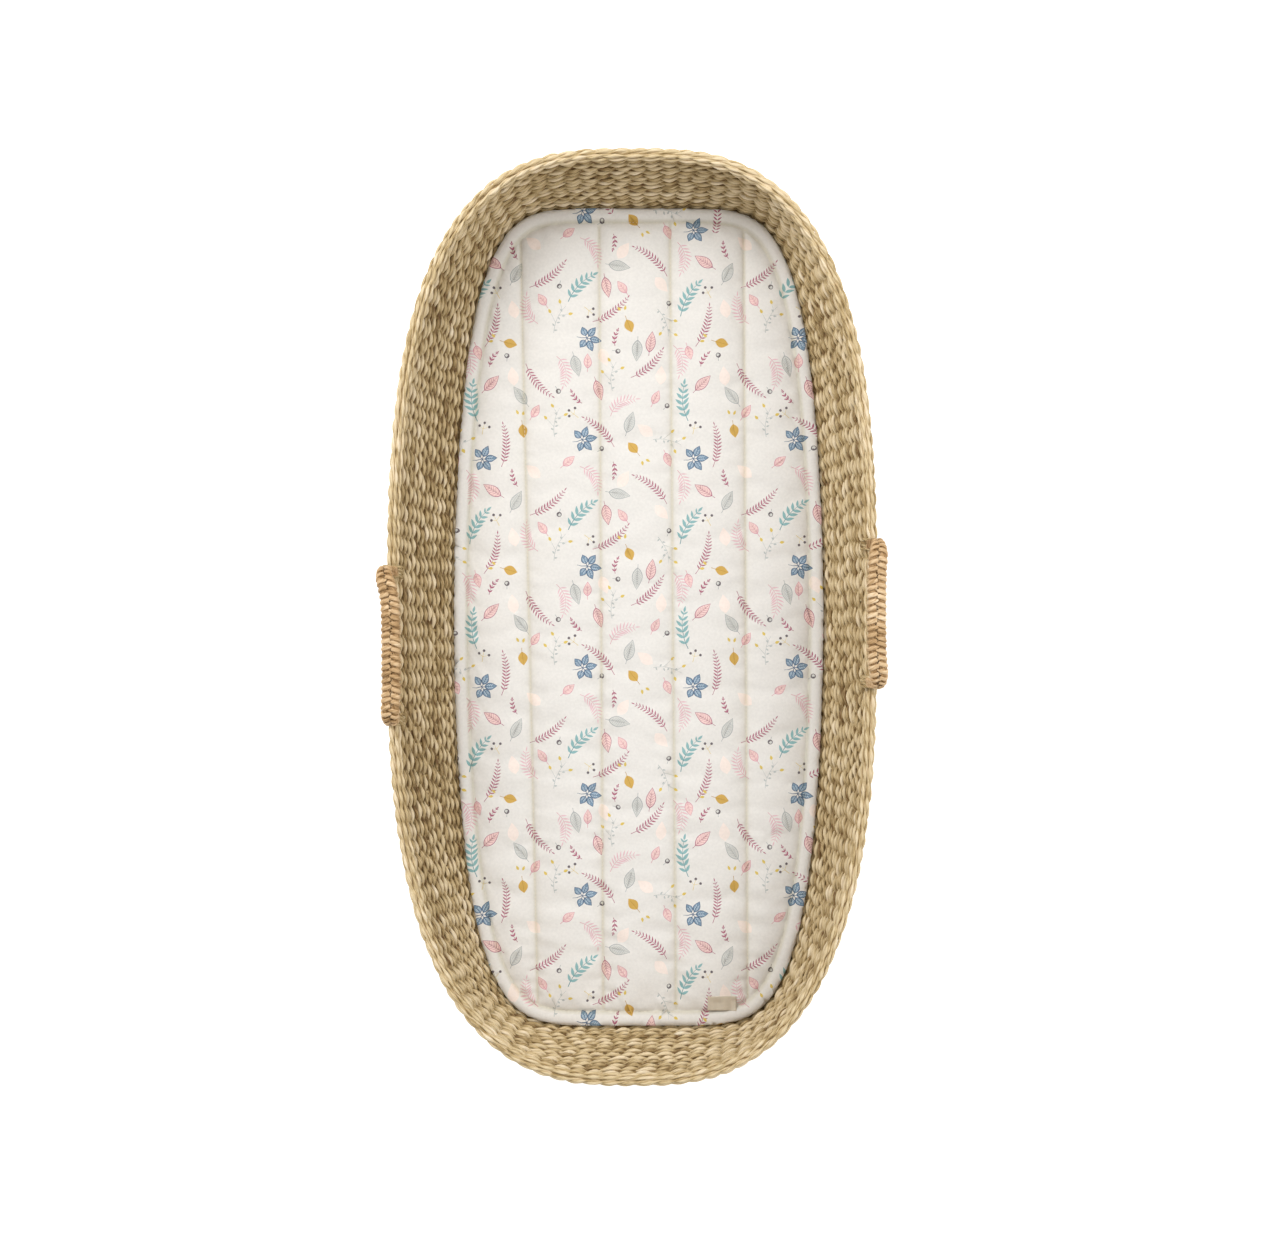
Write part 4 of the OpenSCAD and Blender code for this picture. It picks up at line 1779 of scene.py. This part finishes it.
@dataclass
class QuiltedMat:
    """The loose mat: a closed printed pad, its stitching and its blank label.

    Attributes:
        form: The mat's form.
        finishes: The finishes.
        rim_points: Points round the printed cloth's edge.
        grid: Spacing of the points between the drawings.
        crease_rows: Where rows of points run beside a seam.
        stitch: Length of a stitch, and the gap after it.
        thread: Half the thickness and half the width of the thread.
        quilt: Gives the simulated cloth's movement, once there is one.
    """

    form: MatForm
    finishes: Finishes
    rim_points: int = 460
    grid: float = 4.4 * MM
    crease_rows: tuple[float, ...] = (-2.4 * MM, -1.1 * MM, 0, 1.1 * MM, 2.4 * MM)
    stitch: tuple[float, float] = (2.5 * MM, 1.0 * MM)
    thread: tuple[float, float] = (0.22 * MM, 0.28 * MM)
    quilt: Callable[[Array], Array] | None = None

    def build(self) -> None:
        """Builds the pad, the stitching and the label."""
        cloth = QuiltCloth(self.form)
        cloth.simulate()
        self.quilt = cloth.at
        self.build_pad()
        self.build_stitching()
        self.build_label()

    def lay(self, points: Array) -> Array:
        """Lays points of the flat cloth on the finished mat."""
        return self.form.lay(points, self.quilt)

    def cut_cloth(self) -> tuple[Array, list[tuple[int, ...]], list[Ink | None], list[int]]:
        """Cuts the upper cloth into triangles that follow the print's outlines.

        Returns:
            The points, the triangles, each triangle's ink, and the edge's points in order.
        """
        edge = self.form.edge(-self.form.drop, self.rim_points)
        patches = PrintRepeat().over(edge.min(axis=0), edge.max(axis=0))
        points, faces, inks = [edge], [list(range(len(edge)))], [None]
        total = len(edge)
        for shape, ink in patches:
            inside, _, _ = self.form.polar(shape)
            if inside.min() < -self.form.drop + 1 * MM:
                continue
            points.append(shape)
            faces.append(list(range(total, total + len(shape))))
            inks.append(ink)
            total += len(shape)
        points += [self.fill_grid(edge), self.seam_points()]
        flat = np.vstack(points) / MM
        cut = delaunay_2d_cdt([tuple(p) for p in flat], [], faces, 0, 1e-4, True)
        corners, _, triangles, from_points, _, from_faces = cut
        kept = [(t, f) for t, f in zip(triangles, from_faces) if f]
        place = {source: index for index, sources in enumerate(from_points) for source in sources}
        rim = [place[k] for k in range(len(edge))]
        colours = [inks[max(f)] for _, f in kept]
        return np.array([tuple(p) for p in corners]) * MM, [tuple(t) for t, _ in kept], colours, rim

    def seam_points(self) -> Array:
        """Returns close rows of points along every seam, for the creases that they make."""
        rows = []
        for offset in self.crease_rows:
            rows.append(self.form.edge(self.form.border + offset, 760))
            y = np.arange(-0.38, 0.38, 2.6 * MM)
            for seam in self.form.lanes(y)[:, 1:5].T:
                line = np.column_stack([seam + offset, y])
                inside, _, _ = self.form.polar(line)
                rows.append(line[inside > self.form.border + 3 * MM])
        return np.vstack(rows)

    def fill_grid(self, edge: Array) -> Array:
        """Returns a staggered grid of points inside the edge."""
        low, high = edge.min(axis=0), edge.max(axis=0)
        x = np.arange(low[0], high[0], self.grid)
        y = np.arange(low[1], high[1], self.grid * 0.87)
        grid = np.array([[a + (j % 2) * self.grid / 2, b] for j, b in enumerate(y) for a in x])
        inside, _, _ = self.form.polar(grid)
        _, near = self.form.channel(grid)
        clear = np.minimum(near + 1 * (inside < self.form.border), np.abs(inside - self.form.border))
        return grid[(inside > -self.form.drop + 2 * MM) & (clear > 3.2 * MM)]

    def build_pad(self) -> None:
        """Makes the closed pad: the printed cloth, its sides and the plain underside."""
        flat, triangles, colours, rim = self.cut_cloth()
        laid = self.lay(flat)
        used = sorted({i for t in triangles for i in t})
        renumber = {old: new for new, old in enumerate(used)}
        points = [laid[used]]
        faces = [tuple(renumber[i] for i in t) for t in triangles]
        printed = len(faces)
        ring = [renumber[i] for i in rim]
        total = len(used)
        edge = flat[rim]
        _, angle, _ = self.form.polar(edge)
        low = self.form.level - self.form.drop * self.form.steepness
        floor = self.form.bottom + 0.3 * MM
        for height in (low - 5 * MM, low - 9.5 * MM, floor + 1.2 * MM, floor):
            kept = 0.99625 if height == floor else 1
            middle = np.array([self.form.centre, 0])
            around = (self.form.outline.plan(height, -self.form.tuck, angle) - middle) * kept + middle
            following = list(range(total, total + len(edge)))
            points.append(np.column_stack([around, np.full(len(edge), height)]))
            for k in range(len(edge)):
                n = (k + 1) % len(edge)
                faces.append((ring[k], following[k], following[n], ring[n]))
            ring, total = following, total + len(edge)
        under, closing = self.close_underside(points[-1][:, :2], ring[0], total)
        points.append(np.column_stack([under, np.full(len(under), floor)]))
        faces += closing
        mesh = bpy.data.meshes.new("quilted_mat")
        mesh.from_pydata(np.vstack(points).tolist(), [], faces)
        self.ink(mesh, colours, flat[used])
        mesh.shade_smooth()
        mesh.materials.append(self.finishes.print)
        mesh.materials.append(self.finishes.plain)
        kind = np.zeros(len(faces), np.int32)
        kind[printed:] = 1
        mesh.polygons.foreach_set("material_index", kind)
        piece = new_piece("quilted_mat", mesh)
        nodes = [f"mat_wadding_{k}" for k in range(1, 6)]
        dress(piece, "mat", "cotton_print", "mat_cover_top", "mat_cover_base", *nodes)

    def close_underside(self, ring: Array, first: int, total: int) -> tuple[Array, list[tuple[int, ...]]]:
        """Closes the underside inside its ring.

        Args:
            ring: The ring's points.
            first: The number of the ring's first point.
            total: How many points there are already.

        Returns:
            New points in plan, and triangles that face down.
        """
        inner = (ring - [self.form.centre, 0]) * 0.98 + [self.form.centre, 0]
        low, high = inner.min(axis=0), inner.max(axis=0)
        spacing, clear = 14 * MM, 24 * MM
        x, y = (np.arange(low[i], high[i], spacing) for i in range(2))
        grid = np.array([[a, b] for a in x for b in y])
        inside, _, _ = self.form.polar(grid)
        flat = np.vstack([ring, grid[inside > clear]]) / MM
        cut = delaunay_2d_cdt([tuple(p) for p in flat], [], [list(range(len(ring)))], 0, 1e-4, True)
        place = {index: sources[0] for index, sources in enumerate(cut[3]) if sources}
        shift = total - len(ring)
        number = {i: first + s if s < len(ring) else s + shift for i, s in place.items()}
        faces = [tuple(number[i] for i in t)[::-1] for t, f in zip(cut[2], cut[5]) if f]
        return flat[len(ring) :] * MM, faces

    def ink(self, mesh: bpy.types.Mesh, colours: list[Ink | None], flat: Array) -> None:
        """Paints the print on the mesh as an attribute, with painted shade that darkens it in the creases.

        Args:
            mesh: The pad, whose first faces and points are the printed cloth's.
            colours: The ink of each printed face.
            flat: The printed cloth's points before it was laid.
        """
        cloth = np.array(self.finishes.cream)
        face = np.tile(cloth, (len(mesh.polygons), 1))
        face[: len(colours)] = [cloth if ink is None else ink.value for ink in colours]
        sides, corners = np.empty(len(mesh.polygons), np.int32), np.empty(len(mesh.loops), np.int32)
        mesh.polygons.foreach_get("loop_total", sides)
        mesh.loops.foreach_get("vertex_index", corners)
        shade = np.ones((len(mesh.vertices), 3))
        shade[: len(flat)] = self.crease_shade(flat)
        # the print attribute holds the print's inks times the painted crease shade
        corner = np.column_stack([np.repeat(face, sides, axis=0) * shade[corners], np.ones(len(corners))])
        layer = mesh.attributes.new("print", "FLOAT_COLOR", "CORNER")
        layer.data.foreach_set("color", corner.astype(np.float32).ravel())

    def crease_shade(self, flat: Array) -> Array:
        """Returns the painted crease shade: how much of each colour is left at points of the cloth, darker
        and warmer near its seams.
        """
        inside, _, _ = self.form.polar(flat)
        _, near = self.form.channel(flat)
        near = np.where(inside > self.form.border, near, 1)
        closest = np.minimum(near, np.abs(inside - self.form.border))
        # painted shade: a narrow dark line at each seam and a wider faint darkening over the valley beside it
        thread, valley, darker = 1.5 * MM, 4 * MM, np.array([0.13, 0.15, 0.22])
        depth = np.exp(-((closest / thread) ** 2)) + 0.35 * np.exp(-closest / valley)
        return 1 - depth[:, None] * darker

    def build_stitching(self) -> None:
        """Sews the border and the four channel seams."""
        border, quilting = Weaver(), Weaver()
        ring = self.form.edge(self.form.border, 4000)
        self.sew(border, np.vstack([ring, ring[:1]]), 0.2 * MM)
        half = float(ring[:, 1].max()) - 1 * MM
        y = np.linspace(-half, half, 1200)
        for seam in self.form.lanes(y)[:, 1:5].T:
            line = np.column_stack([seam, y])
            inside, _, _ = self.form.polar(line)
            self.sew(quilting, line[inside > self.form.border + 1.5 * MM], 0.2 * MM)
        for name, weaver, node in (
            ("border_stitching", border, "mat_edge_seam"),
            ("channel_stitching", quilting, "mat_channel_seams"),
        ):
            dress(weaver.build(name, self.finishes.thread), "mat", "sewing_thread", node)

    def sew(self, weaver: Weaver, line: Array, lift: float) -> None:
        """Sews a row of stitches along a line of the cloth.

        Args:
            weaver: Where the thread goes.
            line: The line, finely divided, on the flat cloth.
            lift: How far the middle of a stitch stands above the cloth.
        """
        run = travelled(line)
        starts = np.arange(0, run[-1] - self.stitch[0], sum(self.stitch))
        bite = np.linspace(0, 1, 5)
        places = (starts[:, None] + bite[None] * self.stitch[0]).ravel()
        flat = np.column_stack([np.interp(places, run, line[:, i]) for i in range(2)])
        laid = self.lay(flat)
        laid[:, 2] += np.tile(lift * (np.sin(bite * math.pi) * 1.6 - 0.6), len(starts))
        up = np.tile(UP, (5, 1))
        for k in range(len(starts)):
            weaver.strand(laid[k * 5 : k * 5 + 5], up, *self.thread, 0.5, sides=4)

    def build_label(self) -> None:
        """Lays the blank woven label on the border stitching, and sews its two short ends."""
        low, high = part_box("mat_label")
        columns, rows, thickness = 27, 14, 0.5 * MM
        x = np.linspace(low.x, high.x, columns)
        y = np.linspace(low.y, high.y, rows)
        flat = np.array([[a, b] for b in y for a in x])
        rest = self.lay(flat)[:, 2].reshape(rows, columns)
        level = np.maximum(rest, np.percentile(rest, 55, axis=0)[None]) + 0.5 * MM
        mesh = bpy.data.meshes.new("blank_label")
        raised = np.column_stack([flat, level.ravel()])
        mesh.from_pydata(raised.tolist(), [], grid_quads(rows, columns).tolist())
        mesh.materials.append(self.finishes.tape)
        piece = new_piece("blank_label", mesh)
        clear_selection()
        piece.select_set(True)
        bpy.context.view_layer.objects.active = piece
        solid = piece.modifiers.new("Thickness", "SOLIDIFY")
        solid.thickness = thickness
        bpy.ops.object.modifier_apply(modifier=solid.name)
        mesh.shade_smooth()
        dress(piece, "mat", "label_tape", "mat_label")
        weaver = Weaver()
        for side in (low.x + 1.2 * MM, high.x - 1.2 * MM):
            column = int(round((side - low.x) / (high.x - low.x) * (columns - 1)))
            for k in range(5):
                place = np.linspace(low.y + (1 + 2.4 * k) * MM, low.y + (2.6 + 2.4 * k) * MM, 5)
                height = np.interp(place, y, level[:, column]) + 0.12 * MM
                path = np.column_stack([np.full(5, side), place, height])
                weaver.strand(path, np.tile(UP, (5, 1)), 0.18 * MM, 0.24 * MM, 0.5, sides=4)
        sewing = weaver.build("label_stitching", self.finishes.thread)
        dress(sewing, "mat", "sewing_thread")


# ---- studio ---------------------------------------------------------------------------------


@dataclass(frozen=True)
class Studio:
    """A pale floor, soft light from above and a camera that looks straight down.

    Attributes:
        lens: Focal length of the camera, in millimetres.
        camera_height: Height of the camera above the floor.
        sky: Strength of the light from all round.
        glow: Strength of the floor's own light.
    """

    lens: float = 50.2
    camera_height: float = 1.62
    sky: float = 0.62
    glow: float = 0.55

    def build(self) -> None:
        """Sets up the floor, the lights and the camera."""
        self.lay_floor()
        self.hang_light("key_light", (-0.95, 1.25, 1.8), 1.2, 31)
        self.hang_light("fill_light", (1.6, 0.2, 1.75), 2.0, 20)
        world = bpy.data.worlds.new("white_room")
        world.use_nodes = True
        background = world.node_tree.nodes["Background"]
        background.inputs["Color"].default_value = (1.0, 0.99, 0.975, 1)
        background.inputs["Strength"].default_value = self.sky
        bpy.context.scene.world = world
        bpy.context.scene.view_settings.view_transform = "Standard"
        camera = bpy.data.cameras.new("overhead_camera")
        camera.lens = self.lens
        camera.sensor_width = 36
        camera.sensor_fit = "HORIZONTAL"
        holder = bpy.data.objects.new("overhead_camera", camera)
        holder.location = (0, 0, self.camera_height)
        bpy.context.scene.collection.objects.link(holder)
        bpy.context.scene.camera = holder

    def lay_floor(self) -> None:
        """Lays the floor just under the basket."""
        clear_selection()
        bpy.ops.mesh.primitive_plane_add(size=12, location=(0, 0, -0.5 * MM))
        floor = bpy.context.object
        floor.name = "floor"
        apply_place(floor)
        material, shader = new_material("pale_floor", 0.9)
        shader.inputs["Base Color"].default_value = (0.92, 0.92, 0.92, 1)
        shader.inputs["Emission Color"].default_value = (1, 1, 1, 1)
        shader.inputs["Emission Strength"].default_value = self.glow
        floor.data.materials.append(material)

    def hang_light(self, name: str, place: tuple[float, float, float], size: float, power: float) -> None:
        """Hangs a square soft light that faces the basket.

        Args:
            name: The light's name.
            place: Where it hangs.
            size: Its width.
            power: Its power, in watts.
        """
        light = bpy.data.lights.new(name, "AREA")
        light.size = size
        light.energy = power
        holder = bpy.data.objects.new(name, light)
        holder.location = place
        towards = -np.array(place)
        yaw = math.atan2(towards[0], -towards[1])
        pitch = math.atan2(math.hypot(towards[0], towards[1]), -towards[2])
        holder.rotation_euler = (pitch, 0, yaw + math.pi)
        bpy.context.scene.collection.objects.link(holder)


def main() -> None:
    """Builds the basket, its rim, the handles, the mat and the studio, in that order."""
    logging.basicConfig(level=logging.INFO, format="%(name)s: %(message)s")
    outline = Outline.from_frame()
    finishes = Finishes()
    WovenBody(outline, finishes).build()
    RimBorder(outline, finishes).build()
    RopeHandle(Side.LEFT, finishes, splay=(1.5 * MM, 5.5 * MM), tone=0.38).build()
    RopeHandle(Side.RIGHT, finishes, splay=(2.5 * MM, 2 * MM), tone=0.49).build()
    QuiltedMat(MatForm.from_frame(outline), finishes).build()
    Studio().build()


if __name__ == "__main__":
    main()
